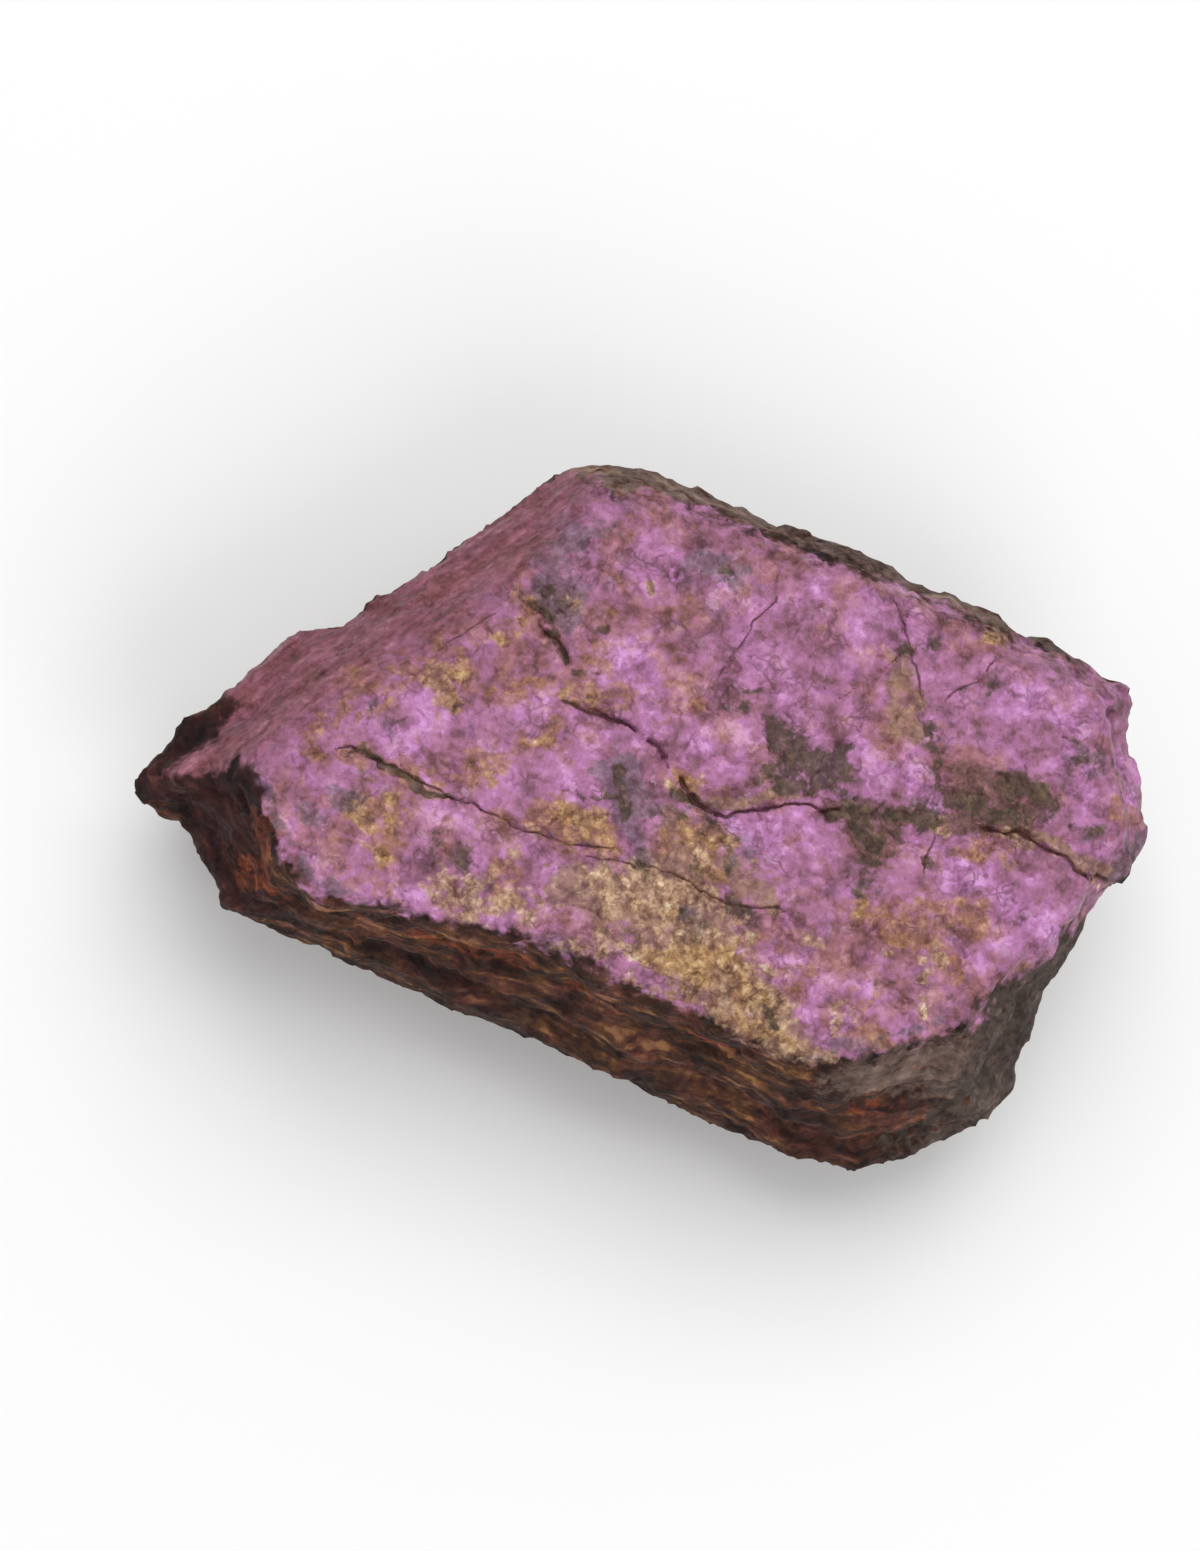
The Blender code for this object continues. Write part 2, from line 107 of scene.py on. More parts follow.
# Stains on the face as the picture shows them, each a short stroke: (its start, its end, radius, strength).
# The orchid strokes are a lighter purple and partly painted highlights, and one small cream spot is a painted
# glint.
GOLD = (
    (-3.2, 9, -2.4, 7.8, 0.25, 0.9), (3.6, -9.2, 4.8, -10, 0.6, 1.2), (-8.4, 4.8, -7.4, 4.2, 0.4, 1.3),
    (-7.6, 5.4, -7, 4.9, 0.4, 1.1), (-8.2, 5.4, -7.6, 3.8, 0.6, 1), (-2.8, 8.8, -1.2, 8.9, 0.5, 0.6),
    (-1.7, 4.1, -0.8, 3.8, 0.45, 0.8), (-4.9, 7.2, -4.2, 7.7, 0.45, 0.6), (-12.5, 5.4, -11.9, 5, 0.4, 0.7),
    (-12.5, -1.8, -11.4, -2.3, 0.5, 0.8), (-10.6, -1.2, -10.2, -2.3, 0.5, 0.8),
    (-11.5, -3.3, -10.8, -4.1, 0.45, 0.7), (-2.8, 2, -2.4, 2.1, 0.4, 0.8), (-6.1, 0.4, -5.5, 0.2, 0.45, 0.7),
    (-2.1, -2.1, -0.4, -2.4, 0.7, 1), (-0.5, -2.8, 0.3, -3.2, 0.5, 0.9), (4.2, 0.4, 4.9, 0, 0.4, 0.8),
    (4.5, -3.1, 6.4, -3.3, 0.45, 0.7), (2.5, -9.3, 6.8, -9.1, 0.65, 0.9), (6.8, -10.5, 8.2, -11.5, 0.6, 0.8),
    (2, -6.5, 3.2, -6.8, 0.45, 0.5), (19.5, 7.3, 20, 6.9, 0.45, 1), (12.8, -6, 13.3, -6.6, 0.45, 0.8),
    (7.2, -12, 9.3, -13, 0.5, 0.6),
)
OCHRE = (
    (4, 0.6, 4.6, -0.9, 0.4, 1), (5.2, -2, 6.4, -3.4, 0.5, 1), (4.2, -2.4, 5, -4.6, 0.5, 0.9),
    (17.8, -3.6, 20.6, -4.4, 0.3, 0.9), (-14, 1.4, -11.8, 1, 0.35, 0.9), (-10.8, 0.2, -8, -0.9, 0.35, 0.9),
    (-5, 0.8, -2.2, 2.4, 0.35, 1), (-12.6, 0.6, -10.6, 0.2, 0.3, 0.8), (-13.5, 2.8, -10, 5.8, 0.35, 0.75),
    (-12.5, 2, -9, 5.3, 0.3, 0.7), (-11, 4.3, -8, 6.8, 0.3, 0.7), (-15, 2, -12.5, 3.8, 0.3, 0.6),
    (-7.2, 5.5, -6.8, 4.9, 0.6, 0.9), (-13.5, 1.2, -11.5, 0.7, 0.45, 0.8), (-10.8, 0.5, -8, -1, 0.45, 0.8),
    (-10, 0.3, -6.5, -0.2, 0.6, 0.6), (-12, -1.2, -10.2, -2.7, 0.9, 0.75),
    (-11.2, -3.6, -10.8, -4.3, 0.55, 0.7), (-13, 4.3, -11.4, 5.4, 0.4, 0.6), (-15, 1.5, -13.4, 3, 0.4, 0.6),
    (-4, 9.3, -2.8, 7.8, 0.45, 0.9), (-5, 4.3, 1.2, 3.9, 0.65, 0.65), (0, 6.8, 0.6, 4.7, 0.65, 0.7),
    (4, 4.3, 4.8, 3.8, 0.55, 0.8), (-6.5, 0.5, -5, 0.8, 0.6, 0.8), (-5, 1, -2.5, 1.9, 0.6, 0.8),
    (-2.5, -1.8, 0.2, -3.5, 0.85, 0.95), (-5, -4.7, -4.5, -6.2, 0.65, 0.7), (3, -3.7, 4.8, -2.8, 0.65, 0.7),
    (5, -3.7, 5.8, -5, 0.6, 0.6), (5, -9, 7.8, -11.5, 1, 0.6), (4, -11.5, 10, -13.7, 0.65, 0.7),
    (15.8, -6.7, 18.8, -7.1, 0.85, 0.9), (15.2, -7.7, 16.5, -8.2, 0.8, 0.8),
    (16.8, -8.5, 17.8, -10, 0.7, 0.6), (18.8, -3.2, 20, -3.7, 0.55, 0.6), (13, -6.5, 14, -6.9, 0.65, 0.7),
    (13.4, -11.5, 14.2, -13.5, 0.6, 0.8), (25.8, -1.8, 26.5, -2.3, 0.55, 0.5), (9, -9, 10, -10.5, 0.7, 0.5),
)
TAN = (
    (23, -3.5, 25.4, -5, 0.3, 1.4), (5.8, -1.4, 8.6, -1.2, 0.28, 1.3), (-1.5, -5.4, 3, -7.4, 1.2, 1.3),
    (2.8, -5.4, 5.6, -9.4, 1.9, 1.5), (5.2, -9.4, 8.8, -13, 1.5, 1.5), (8.6, -12.8, 11, -14.2, 0.7, 1.3),
    (6, -4.4, 8.6, -6, 0.7, 1), (3.6, -2.2, 5.4, -4.8, 0.7, 1.1), (7, -1.3, 10.7, -1, 0.22, 1),
    (19.9, -2.4, 23, -3.6, 0.34, 1.4),
)
CREAM = (
    (3.6, -6, 4.6, -9.6, 0.8, 1.1), (1.2, -5.6, 3.2, -6.6, 0.5, 1), (7.8, -11, 8.8, -12.6, 0.5, 1),
    (4.4, -3.2, 5, -4.2, 0.35, 1), (11.8, -11.6, 12.2, -13, 0.3, 0.9), (6.5, -9.5, 9.2, -13, 1.1, 0.8),
    (2.2, -5.6, 6.6, -11.2, 1.7, 0.75), (0.4, -5.2, 4.8, -8.8, 1.3, 0.6), (-7.5, -5.6, -4.2, -6.8, 1.2, 0.6),
    (-7.8, -5.2, -5, -6.5, 0.9, 0.8), (-6.6, -7, -5.9, -7.2, 0.4, 0.6), (-4, -4, -5, -4.5, 0.45, 0.5),
    (0, -5, 0.6, -6.1, 0.55, 0.7), (2, -6.2, 3.4, -7.2, 0.75, 0.8), (4, -5.7, 6.6, -7, 0.7, 0.85),
    (2.5, -8.7, 5, -9.7, 0.8, 0.75), (0, -8.2, 2, -9.1, 0.7, 0.6), (-2.1, -8.4, -0.6, -8.7, 0.5, 0.6),
    (1.1, -10, 2.6, -10.5, 0.55, 0.55), (5.8, -9.5, 7, -8.5, 0.65, 0.8), (3.4, -0.4, 3.9, -0.5, 0.25, 1.1),
    (0, -0.7, 0.2, -0.8, 0.2, 1.1), (6.1, -3.2, 6.2, -3.5, 0.3, 0.8), (7.4, -4.2, 7.7, -4.6, 0.35, 0.7),
    (7.9, -11.5, 9.5, -12.7, 0.65, 0.8), (16.5, -2.6, 17.1, -2.7, 0.25, 0.9), (20, -2.8, 21, -3.1, 0.25, 0.8),
    (22.6, -4.1, 23.3, -4.4, 0.25, 0.6), (24.8, -5.4, 25.3, -5.5, 0.25, 0.7),
    (10.4, -8.3, 10.7, -8.7, 0.25, 0.8), (14.2, -8.4, 14.6, -8.8, 0.25, 0.7),
    (16.1, -11.2, 16.3, -11.7, 0.25, 1.1), (12.4, -11.4, 12.8, -11.9, 0.35, 0.7),
    # The tiny spot from (2.3, 9.8) to (2.3, 9.6) is a painted glint
    (15.9, -9.2, 16.2, -10, 0.4, 0.6), (17.2, -8.2, 17, -9.5, 0.4, 0.6), (2.3, 9.8, 2.3, 9.6, 0.15, 1.4),
    (9.5, -13.8, 11.5, -14.1, 0.4, 0.6),
)
DARK = (
    (-1.2, -1, 0.2, -1.1, 0.24, 1.1), (1.1, 0.2, 1.3, -2, 0.3, 1.1), (4.3, -0.7, 5.6, -2, 0.3, 0.9),
    (16.2, 2.6, 17, 0.4, 0.16, 0.9), (17, 0.4, 17.3, -1.4, 0.16, 0.9), (5.6, -2.4, 6.6, -4.6, 0.2, 0.6),
    (-1.4, 5.2, -0.2, 4.8, 0.18, 0.52), (6.4, 4.4, 9, 4, 0.16, 0.7), (-3.7, 9.2, -2.6, 7.2, 0.22, 0.9),
    (-2.6, 7.2, -1.8, 5.8, 0.2, 0.9), (-2.4, 9.2, -1.6, 8.2, 0.35, 0.6), (26.6, -5.2, 27.4, -3.8, 0.3, 0.9),
    (-14.2, 1.4, -11.6, 1.2, 0.22, 0.6), (-11.4, 0.9, -9, -0.4, 0.25, 0.9), (-9, -0.3, -7.4, -1.2, 0.2, 0.6),
    (8, -11.6, 8.6, -12, 0.45, 0.6), (5.2, -2.6, 6.6, -3.4, 0.35, 0.6), (8.8, -14.2, 11.5, -15, 0.3, 0.45),
    (17, -1.6, 21.3, -1.8, 0.45, 1), (20.3, -0.4, 21.9, -1, 0.7, 1.1), (13, -2.5, 13.6, -4, 0.5, 0.9),
    (11.6, -1.8, 16.5, -2.3, 0.4, 0.9), (9.2, -0.5, 12, -0.6, 0.35, 0.6), (12.8, -1.6, 22, -2, 0.75, 0.48),
    (20.5, -0.3, 22.1, -1.3, 0.75, 0.8), (17.2, -1.2, 19, -1.8, 0.6, 0.64), (13, -2.5, 14.4, -3.5, 0.65, 0.6),
    (12.5, -4.6, 13.4, -5.7, 0.7, 0.6), (16.2, -4.4, 16.3, -5.3, 0.2, 0.6), (16, 1.4, 17.4, 1, 0.5, 0.45),
    (16.3, 3, 16.8, 1.8, 0.4, 0.42), (15.2, 6.5, 16.9, 6.7, 0.35, 0.6), (22.4, 4.6, 22.9, 4.3, 0.35, 0.22),
    (19.2, 4.2, 20, 6, 0.35, 0.36), (17.2, 3.5, 18.2, 4.3, 0.3, 0.36), (23.6, 1.5, 25, 0.4, 0.65, 0.34),
    (25.4, 0.5, 25.8, 0.9, 0.3, 0.26), (24.2, -2.6, 24.8, -2.8, 0.45, 0.27),
    (-8, -3.7, -6.2, -4.1, 0.5, 0.54), (-7.4, 3.6, -7.2, 2.9, 0.3, 0.54), (-0.6, -1, 1.3, -1.1, 0.3, 0.6),
    (3.9, -1, 5.7, -1.9, 0.45, 0.6), (5, -5, 7.2, -5.5, 0.45, 0.39), (6.9, -5.8, 7.9, -8.2, 0.45, 0.42),
    (3.5, -3.1, 4.6, -4.8, 0.3, 0.36), (5.9, 3.9, 7.5, 3.5, 0.4, 0.42), (2, -3.8, 2.2, -4.4, 0.45, 0.36),
    (2.8, -5.6, 3.5, -6.3, 0.35, 0.3), (4.1, -7.1, 5.1, -7.9, 0.5, 0.42), (0.1, 7.8, 0.4, 7.4, 0.25, 0.88),
    (-0.4, 7.2, -0.3, 7, 0.25, 0.54), (-8.5, 8.7, -8.4, 8.4, 0.3, 0.6), (10.8, 5.5, 11.4, 4.4, 0.45, 0.27),
    (14, -10.4, 14.6, -10.8, 0.4, 0.36), (5.8, 10.2, 6.3, 9.9, 0.3, 0.54), (1.8, -1.5, 4, -2, 0.45, 0.3),
)
SLATE = (
    (0.1, -0.2, 1, -1.8, 0.6, 1.1), (26, -5, 27.2, -3.4, 0.55, 1.3), (-1.6, 11.6, -2.6, 9.8, 0.55, 1.3),
    (-2.6, 9.8, -2, 8, 0.65, 1.4), (5, 10.6, 6.6, 10, 0.6, 1), (-17.5, 0.2, -16.4, -1.8, 0.3, 0.9),
    (-16.4, -1.8, -15.7, -3.5, 0.3, 0.9), (-15.7, -3.5, -14.4, -5.3, 0.3, 1),
    (-14.4, -5.3, -12, -6.2, 0.3, 0.8), (-13.2, -1, -12.2, -1.4, 0.5, 0.8), (10.5, -14, 17, -12.4, 0.35, 0.8),
    (-2.8, 11.2, -1.2, 9.3, 0.7, 0.8), (-2.2, 8.7, -1.1, 8.2, 0.5, 0.8), (-2.2, 11.8, 0.2, 12.3, 0.4, 0.5),
    (4.5, 10.8, 6, 10.3, 0.55, 0.65), (1.1, 0.7, 2, -1.2, 0.55, 0.95), (1, -1.3, 1.9, -2.6, 0.55, 0.85),
    (2, -2, 4.2, -1.2, 0.55, 0.5), (-11.3, 3.5, -10.4, 2.8, 0.45, 0.7), (-16.9, -0.8, -16.4, -2.8, 0.3, 0.9),
    (-15.1, -1.4, -13.9, -2.1, 0.45, 0.6), (4.1, -7.2, 5, -7.7, 0.45, 0.6), (23.7, 1.5, 24.8, 0.5, 0.6, 0.6),
    (26.6, -3.8, 27.3, -4.5, 0.45, 1), (24.2, -2.6, 24.8, -2.8, 0.4, 0.6), (6.9, -4.3, 7.6, -3, 0.5, 0.5),
    (-3.1, -8.3, -1.9, -8.7, 0.4, 0.7), (2, -3.8, 2.2, -4.5, 0.4, 0.6),
)
ROSE = (
    (12, -8.5, 18, -10.5, 2.2, 0.6), (-15, -2.5, -11.5, -5, 2, 0.5), (-7, 6.8, -3, 6.7, 1.1, 0.55),
    (-6, 3.7, -1.5, 4.3, 0.9, 0.55), (2.8, 6.8, 5, 3.8, 0.8, 0.65), (8, 10.3, 9.5, 10.8, 0.65, 0.5),
    (2.5, 0.8, 3.4, 0, 0.5, 0.6), (6, -0.8, 7, -1, 0.5, 0.6), (14.2, 6, 15.6, 4, 0.65, 0.75),
    (15, 3.5, 15.8, 1.8, 0.6, 0.8), (16.2, 8.2, 19.2, 6.7, 0.7, 0.75), (17.9, 0.7, 20.2, -1, 1, 0.85),
    (15, -7.5, 13.5, -9.2, 0.8, 0.65), (8, -7.5, 10, -8.2, 0.7, 0.7), (13, -3.7, 16.5, -4.3, 0.7, 0.5),
    (-10, -0.7, -13.5, -1.2, 0.6, 0.45), (2, 12.8, 5.5, 11.8, 0.65, 0.5), (9, -11.2, 11.5, -11.8, 0.7, 0.55),
    (13, -13.2, 18, -13, 0.55, 0.5), (-20, 0, -18.1, 1.7, 0.55, 0.9), (25.6, -2.1, 26.4, -2.4, 0.6, 0.55),
    (10, -6.2, 11.5, -5.2, 0.6, 0.4),
)
# Orchid strokes: a lighter purple, and partly painted highlights on bright facets and rounded edges
ORCHID_AND_HIGHLIGHT = (
    (2.4, 5.6, 2.9, 2.6, 0.7, 1.3), (-15.5, -2.2, -14.2, -3.6, 0.7, 1.1), (6.4, -2.8, 8.6, -3.6, 0.8, 1.1),
    (16.8, -4.6, 18.6, -5.2, 0.8, 1.2), (20.5, 4, 23.6, 3.4, 0.9, 1), (15.4, 0.6, 16.2, -0.8, 0.6, 1.1),
    (-10.4, 1.6, -8.8, 2.4, 0.6, 1.1), (7, -9.6, 11, -9.8, 0.8, 1), (12.6, 1.4, 13.8, -0.8, 0.6, 1),
    (3, 3.6, 4.6, 2.4, 0.6, 0.8), (-0.6, 3.6, 0.4, 6.4, 0.6, 0.8), (10.6, -11.6, 12.8, -13, 0.6, 0.9),
    (-15, -4.2, -13.3, -5.7, 0.5, 1), (-13.3, -5.6, -9, -6.4, 0.45, 1), (-11.2, 2.7, -9.8, 1.6, 0.6, 0.8),
    (-11.1, 2.4, -10.4, 1.6, 0.5, 0.8), (-8.4, 4.3, -7.9, 2.7, 0.5, 0.7), (-15, 0.5, -14.2, -0.6, 0.6, 0.55),
    (-12.3, 0.3, -11.5, -0.7, 0.6, 0.65), (-8.5, -2, -6.5, -3, 0.6, 1), (-14, -3.7, -12.5, -5.2, 0.7, 0.75),
    (-11.4, -5.5, -9.9, -6, 0.6, 1), (-9.3, 0.9, -8.8, 0.2, 0.35, 0.7), (-3.8, 3.3, -2.6, 3, 0.45, 0.85),
    (-3.7, 2.7, -3.3, 1.9, 0.35, 0.7), (-2.2, -0.7, -1.2, -1, 0.5, 0.95), (0, 2, 2, 1.5, 0.5, 0.8),
    (-2, 0.3, 0, 0.2, 0.7, 0.6), (1.4, 6.3, 2.5, 3.8, 0.75, 1.1), (2.5, 3.7, 3.5, 2.5, 0.45, 0.85),
    (5, 1.9, 8, 2.1, 0.65, 1), (6.9, 1.5, 7.3, 0.7, 0.5, 0.75), (0, 11, 2, 10.7, 0.7, 0.65),
    (6.2, 9.5, 7, 8.7, 0.55, 1.1), (7.2, 6.7, 9, 5.3, 0.7, 0.65), (3.5, 12.2, 4, 9.2, 0.6, 0.5),
    (12, 8.7, 14.8, 6.7, 1, 0.75), (12.2, 5.3, 12.8, 4.4, 0.4, 0.65), (9, 3.7, 10.2, 3, 0.5, 0.6),
    (13, 0.8, 14.3, 0, 0.5, 1), (15.2, 0.7, 16.5, -1.5, 0.65, 0.9), (11.5, -0.7, 14.3, -0.5, 0.3, 0.8),
    (20, 3.8, 22.5, 3.5, 0.8, 0.85), (17, 3, 19.5, 1.5, 0.7, 0.6), (23, 3.7, 25, 2.7, 0.7, 0.7),
    (23.1, 0.2, 24.3, -1.3, 0.7, 0.85), (26.2, 0.8, 26.8, -1.3, 0.6, 0.75), (20.4, 1.5, 21.5, 0.5, 0.45, 0.5),
    (9.5, -2.8, 11.3, -3.8, 0.7, 0.85), (17, -3.7, 18.5, -4.7, 0.6, 1.1), (20.4, -4.5, 21.5, -5.3, 0.5, 0.75),
    (22.5, -2.6, 23.1, -1.2, 0.5, 0.65), (18.8, -9.6, 20.5, -8.1, 0.7, 1.1), (20.7, -6.5, 22.5, -8, 0.75, 1),
    (10, -9.8, 13.6, -10.3, 0.6, 0.85), (15, -12.8, 16.2, -12.4, 0.45, 0.75),
    (16.2, -10.4, 16.5, -10.8, 0.35, 0.8), (8, -5.8, 9.3, -6, 0.5, 0.85), (-6, -2.6, -4.6, -2.9, 0.4, 0.75),
    (-4.5, -3.7, -1.8, -4.6, 0.6, 0.75), (-5, -7.8, -1.9, -7.1, 0.6, 0.65), (0, -7.5, 2.2, -8.1, 0.6, 0.5),
)
PLUM = (
    (0.4, 8.6, 1.6, 8.1, 0.45, 0.7), (5, 12.3, 9.2, 11.5, 0.6, 0.6), (-2.8, 13.5, -2.2, 11.8, 0.45, 0.5),
    (4.4, 8.8, 4.5, 6.8, 0.45, 0.45), (18, 9.8, 20, 8.8, 0.45, 0.4), (10.8, 11.5, 12.5, 10.8, 0.4, 0.5),
    (-16, -3.1, -14.9, -5.4, 0.35, 0.8), (23.5, -2.2, 24, -3.2, 0.4, 0.6), (19.2, 2.8, 20.5, 3.8, 0.3, 0.4),
    (8, -5.2, 8.5, -4.2, 0.4, 0.4), (2, -10.7, 3, -11, 0.3, 0.3), (6, -9.2, 9.5, -11.2, 0.4, 0.35),
    (-8.5, 8.8, -6.5, 10.3, 0.6, 0.4),
)
STAINS_AND_HIGHLIGHTS = {
    "gold": GOLD, "ochre": OCHRE, "tan": TAN, "cream": CREAM, "dark": DARK,
    "slate": SLATE, "rose": ROSE, "orchid_and_highlight": ORCHID_AND_HIGHLIGHT, "plum": PLUM,
}

# Stains with a crisp outline, as the picture shows them
OUTLINED = {
    "dark": (
        (8.1, 2.9), (8.6, 2.8), (9.5, 2.7), (10.2, 2.3), (10.5, 1.8), (10.4, 1.2), (10.8, 0.7), (11.1, 1.5),
        (11.5, 1.7), (12.4, 1.8), (12.6, 1.4), (12.2, 1), (12.8, 0.3), (12.4, -0.2), (11.6, -0.5),
        (11.3, -0.9), (10.8, -1.2), (9.5, -1.1), (8.3, -0.8), (7.6, -0.2), (7.6, 0.3), (8.6, 0.9), (8.3, 2),
    ),
    "brown": (
        (11.1, -1.3), (13.9, -1.1), (14.7, -1.6), (15.7, -1.9), (16.9, -1.8), (16.9, -0.9), (17.3, 0.2),
        (17.9, 0.7), (19.4, 0.7), (20.1, 0.2), (20.8, 0), (21.6, -0.2), (22.4, 0), (22.6, -0.7),
        (22.3, -1.6), (21.7, -2.2), (21.1, -3.1), (20.1, -2.8), (18.9, -3.1), (17.6, -2.7), (16.7, -2.4),
        (14.7, -2.7), (14.4, -3.7), (13.9, -4.4), (13.2, -4.4), (12.7, -3.3), (12, -2.4), (11.1, -1.9),
    ),
    "tan": (
        (14.4, 6.3), (15.6, 6), (16.2, 3.8), (16.4, 2.4), (15.7, 1.6), (15.1, 1.6), (14.7, 2.4),
        (14.4, 3.8),
    ),
}

# Stains on the sides and the underside: (its start, its end, radius, strength) on the stone itself
SIDE_STAINS = {
    "maroon": (
        (-20.5, -8.2, 15, -18.5, -10.5, 11.5, 3.8, 1.5), (-17.8, -7.2, 17, -17.2, -8, 16.4, 1.2, 1.5),
        (-24.2, -9, 12, -23, -9.2, 12.4, 1.6, 1.6), (-23.8, -7.8, 12.2, -20.8, -4.4, 14.5, 1.7, 1.6),
    ),
    "charcoal": (
        (20, -3, 15, 21.5, -8, 9, 4.8, 1.4), (23.5, 3.5, 13.5, 22, -4, 7, 3, 1.1),
    ),
    "rust": (
        (-17, -11.2, 14.8, -17.9, -9.6, 16.4, 1, 1.1), (-16.6, -11.6, 14.6, -17.6, -11.4, 12, 1.1, 0.9),
        (-1, -11.4, 14.6, 1.6, -11.6, 14.6, 0.7, 1), (5.6, -12, 15, 6.8, -12.2, 15, 0.7, 1),
        (-9, -12.2, 15, -4, -12, 15.2, 0.8, 0.6), (18.4, -10.6, 10.2, 21, -9.6, 10, 0.4, 0.9),
        (12, -12.6, 13, 15, -12, 12.6, 0.8, 0.6),
    ),
    "olive": (
        (13.6, -11.2, 15.8, 19.4, -8.6, 14.8, 1.9, 1.1), (-9.5, 12.5, 15.5, -4, 14, 15.4, 1.9, 0.9),
        (-4, 14, 15.2, 12, 13.8, 15.2, 1.6, 0.85), (12, 13.4, 15.2, 18, 13, 15.2, 1.3, 0.75),
    ),
}

# The skin: an even grid, finer on the coloured face and finest along the cracks
SKIN_GRID = 0.34
SMOOTHING = 0.5
FACET_ROUNDS = 3
CRACK_FILL_REACH = 0.75
CRACK_FILL_ROUNDS = 14
FINE_FROM_BORDER = -1.5
CRACK_FINE_REACH = 0.26
FLOOR_TOUCH = 0.12
RESTS_FACING = -0.9

# Where the kinds of relief change over, from the border of the face or the ridge: (none yet, all)
FACE_CHANGE = (-0.3, 0.5)
SHOULDER_CHANGE = (-0.6, 1.2)
LEDGE_CHANGE = (-0.3, -2.5)
CRACK_CHANGE = (-0.8, 0.0)

# Relief in millimetres: (size of a form, depth)
FACE_SWELLS = (2.6, 0.2)
SHOULDER_RELIEF = 0.5
FACE_FACETS = ((1.9, 0.55), (0.8, 0.22))
FACE_GRAIN = (0.5, 0.05)
SIDE_FACETS = ((1.9, 0.4), (0.8, 0.18))
SIDE_GRAIN = (0.6, 0.07)
LEDGE_THICKNESS = 0.7
LEDGE_DEPTH = 0.1
LEDGE_RISE = 0.8
LEDGE_DIP = 0.06
LEDGE_WAVE = (5.0, 0.6)
STREAK_WIDTH = 0.45
STREAK_LENGTH = 5.0
STREAK_DEPTH = 0.12
STREAK_ACROSS = Vector((0.81, -0.58, 0.0))
STREAK_ALONG = Vector((0.58, 0.81, 0.0))
DARK_SUNK = 0.16
DARK_STEP = (0.35, 0.65)
DARK_CRUMBLED = 0.4
CRUMB_SIZE = 0.5
CRUMB_HEIGHT = 0.2
CRACK_FAINT = 0.75
CRACK_GAIN = 4.0
CRACK_LIP = 0.12
CRACK_LIP_REACH = 1.2
CRACK_TAPER = 0.12
GROOVE_WIDER = 1.6
STROKE_EDGE = 1.5

# Layers of the relief's noises: (how fast the finer ones fade, how many there are)
LAYER_SHRINK = 2.0
GRAIN_LAYERS = (0.8, 3)
SWELL_LAYERS = (0.9, 3)
STREAK_LAYERS = (0.8, 2)
CRUMB_LAYERS = (0.7, 2)
NOISE_MIDDLE = Vector((0.5, 0.5, 0.5))

# The outlines of stains and cracks wander: (size of a turn, distance)
STAIN_WANDER = ((1.6, 0.55), (0.5, 0.2))
OUTLINE_WANDER = ((0.9, 0.28), (0.35, 0.12))
OUTLINE_SOFTNESS = 0.5
CRACK_WANDER = ((1.3, 0.2), (0.45, 0.09))
WANDER_SEED = 1

# How level a place may be and still have ledges: (none, all)
LEDGE_LEVEL = (0.85, 0.45)

# How squarely a place must face the view to take the picture's stains, and to count as hidden
FACING_STAINED = (0.1, 0.3)
FACING_FINE = 0.32
FACING_COLOURED = 0.1
FACING_SCALE = 6.0
FACE_LOWEST = 9.5
FACING_HIDDEN = (0.1, -0.35)

# Noises that the colours share, some moved so that they don't follow the others:
# (how far in metres, size of a form, layers, roughness)
NOISES = {
    "broad": ((0, 0, 0), 4.5, 3.0, 0.5),
    "middle": ((0, 0, 0), 1.5, 3.0, 0.55),
    "fine": ((0, 0, 0), 0.55, 3.0, 0.6),
    "tint": ((0.3, 0.1, 0.2), 1.1, 4.0, 0.65),
    "warmth": ((0.7, 0.4, 0.1), 2.4, 5.0, 0.65),
}
PATCH_SHIFT = 13.0 * MM

# Other patterns: (size of a form, layers, roughness), or the size of a cell
EDGE_NOISE = (0.95, 3.0, 0.66)
HAIRLINE_NOISE = (1.9, 2.0, 0.6)
SHOULDER_NOISE = (0.55, 5.0, 0.62)
GRAIN_SIZE = 0.3
CRUMB_WIDTH = 0.45
FACET_WIDTH = 1.1

# Beds of the sides: (size, layers, roughness, how much), and how they and the shoulder's streaks lie
BED_NOISES = ((0.4, 3.0, 0.6, 1.5), (1.1, 2.0, 0.5, 1.2))
BED_STRETCH = (0.2, 0.2, 1.0)
BED_TILT = math.radians(3.0)
SHOULDER_STRETCH = (8.0, 1.0, 3.0)
SHOULDER_TURN = math.radians(56.0)

# Patterns pushed about by a noise: (forms to the metre, distance in metres)
CRUMB_PUSH = (2200.0, 0.001)
HAIRLINE_PUSH = (900.0, 0.0016)
BED_PUSH = (260.0, 0.0016)
PUSH_LAYERS = 2.0

# How much each noise swings a tone, an edge, the roughness or the bumps
PURPLE_SWINGS = {"middle": 1.5, "fine": 0.75, "grain 0": 0.17, "crumb 1": 0.1}
EVEN_SWINGS = {"fine": 1.7, "crumb 1": 0.3, "crumb height": 0.3}
CRUSTY_SWINGS = {"fine": 1.4, "crumb 1": 0.35, "crumb height": 0.5}
SHOULDER_SWINGS = {"streaks": 1.5, "fine": 0.8, "grain 0": 0.15}
SHOULDER_EDGE_SWINGS = {"middle": 5.0, "warmth": 3.0}
SIDE_SWINGS = {"fine": 0.9, "middle": 1.1, "broad": 0.5}
CHARCOAL_SWINGS = {"middle": 1.1, "fine": 1.3, "grain 1": 0.2}
BORDER_SWINGS = {"middle": 2.2, "fine": 0.8}
CRACK_SWINGS = {"fine": 0.8, "middle": 1.6}
ROUGHNESS_SWINGS = {"fine": 0.3, "grain 2": 0.25}
BUMP_SWINGS = {"fine": 0.8, "crumb 0": 0.25, "middle": 0.2}

# How much a stain's own amount, its patches and the grain count at its edge
EDGE_AMOUNT = 0.8
EDGE_PATCHY = 3.3
EDGE_GRAINY = 0.16
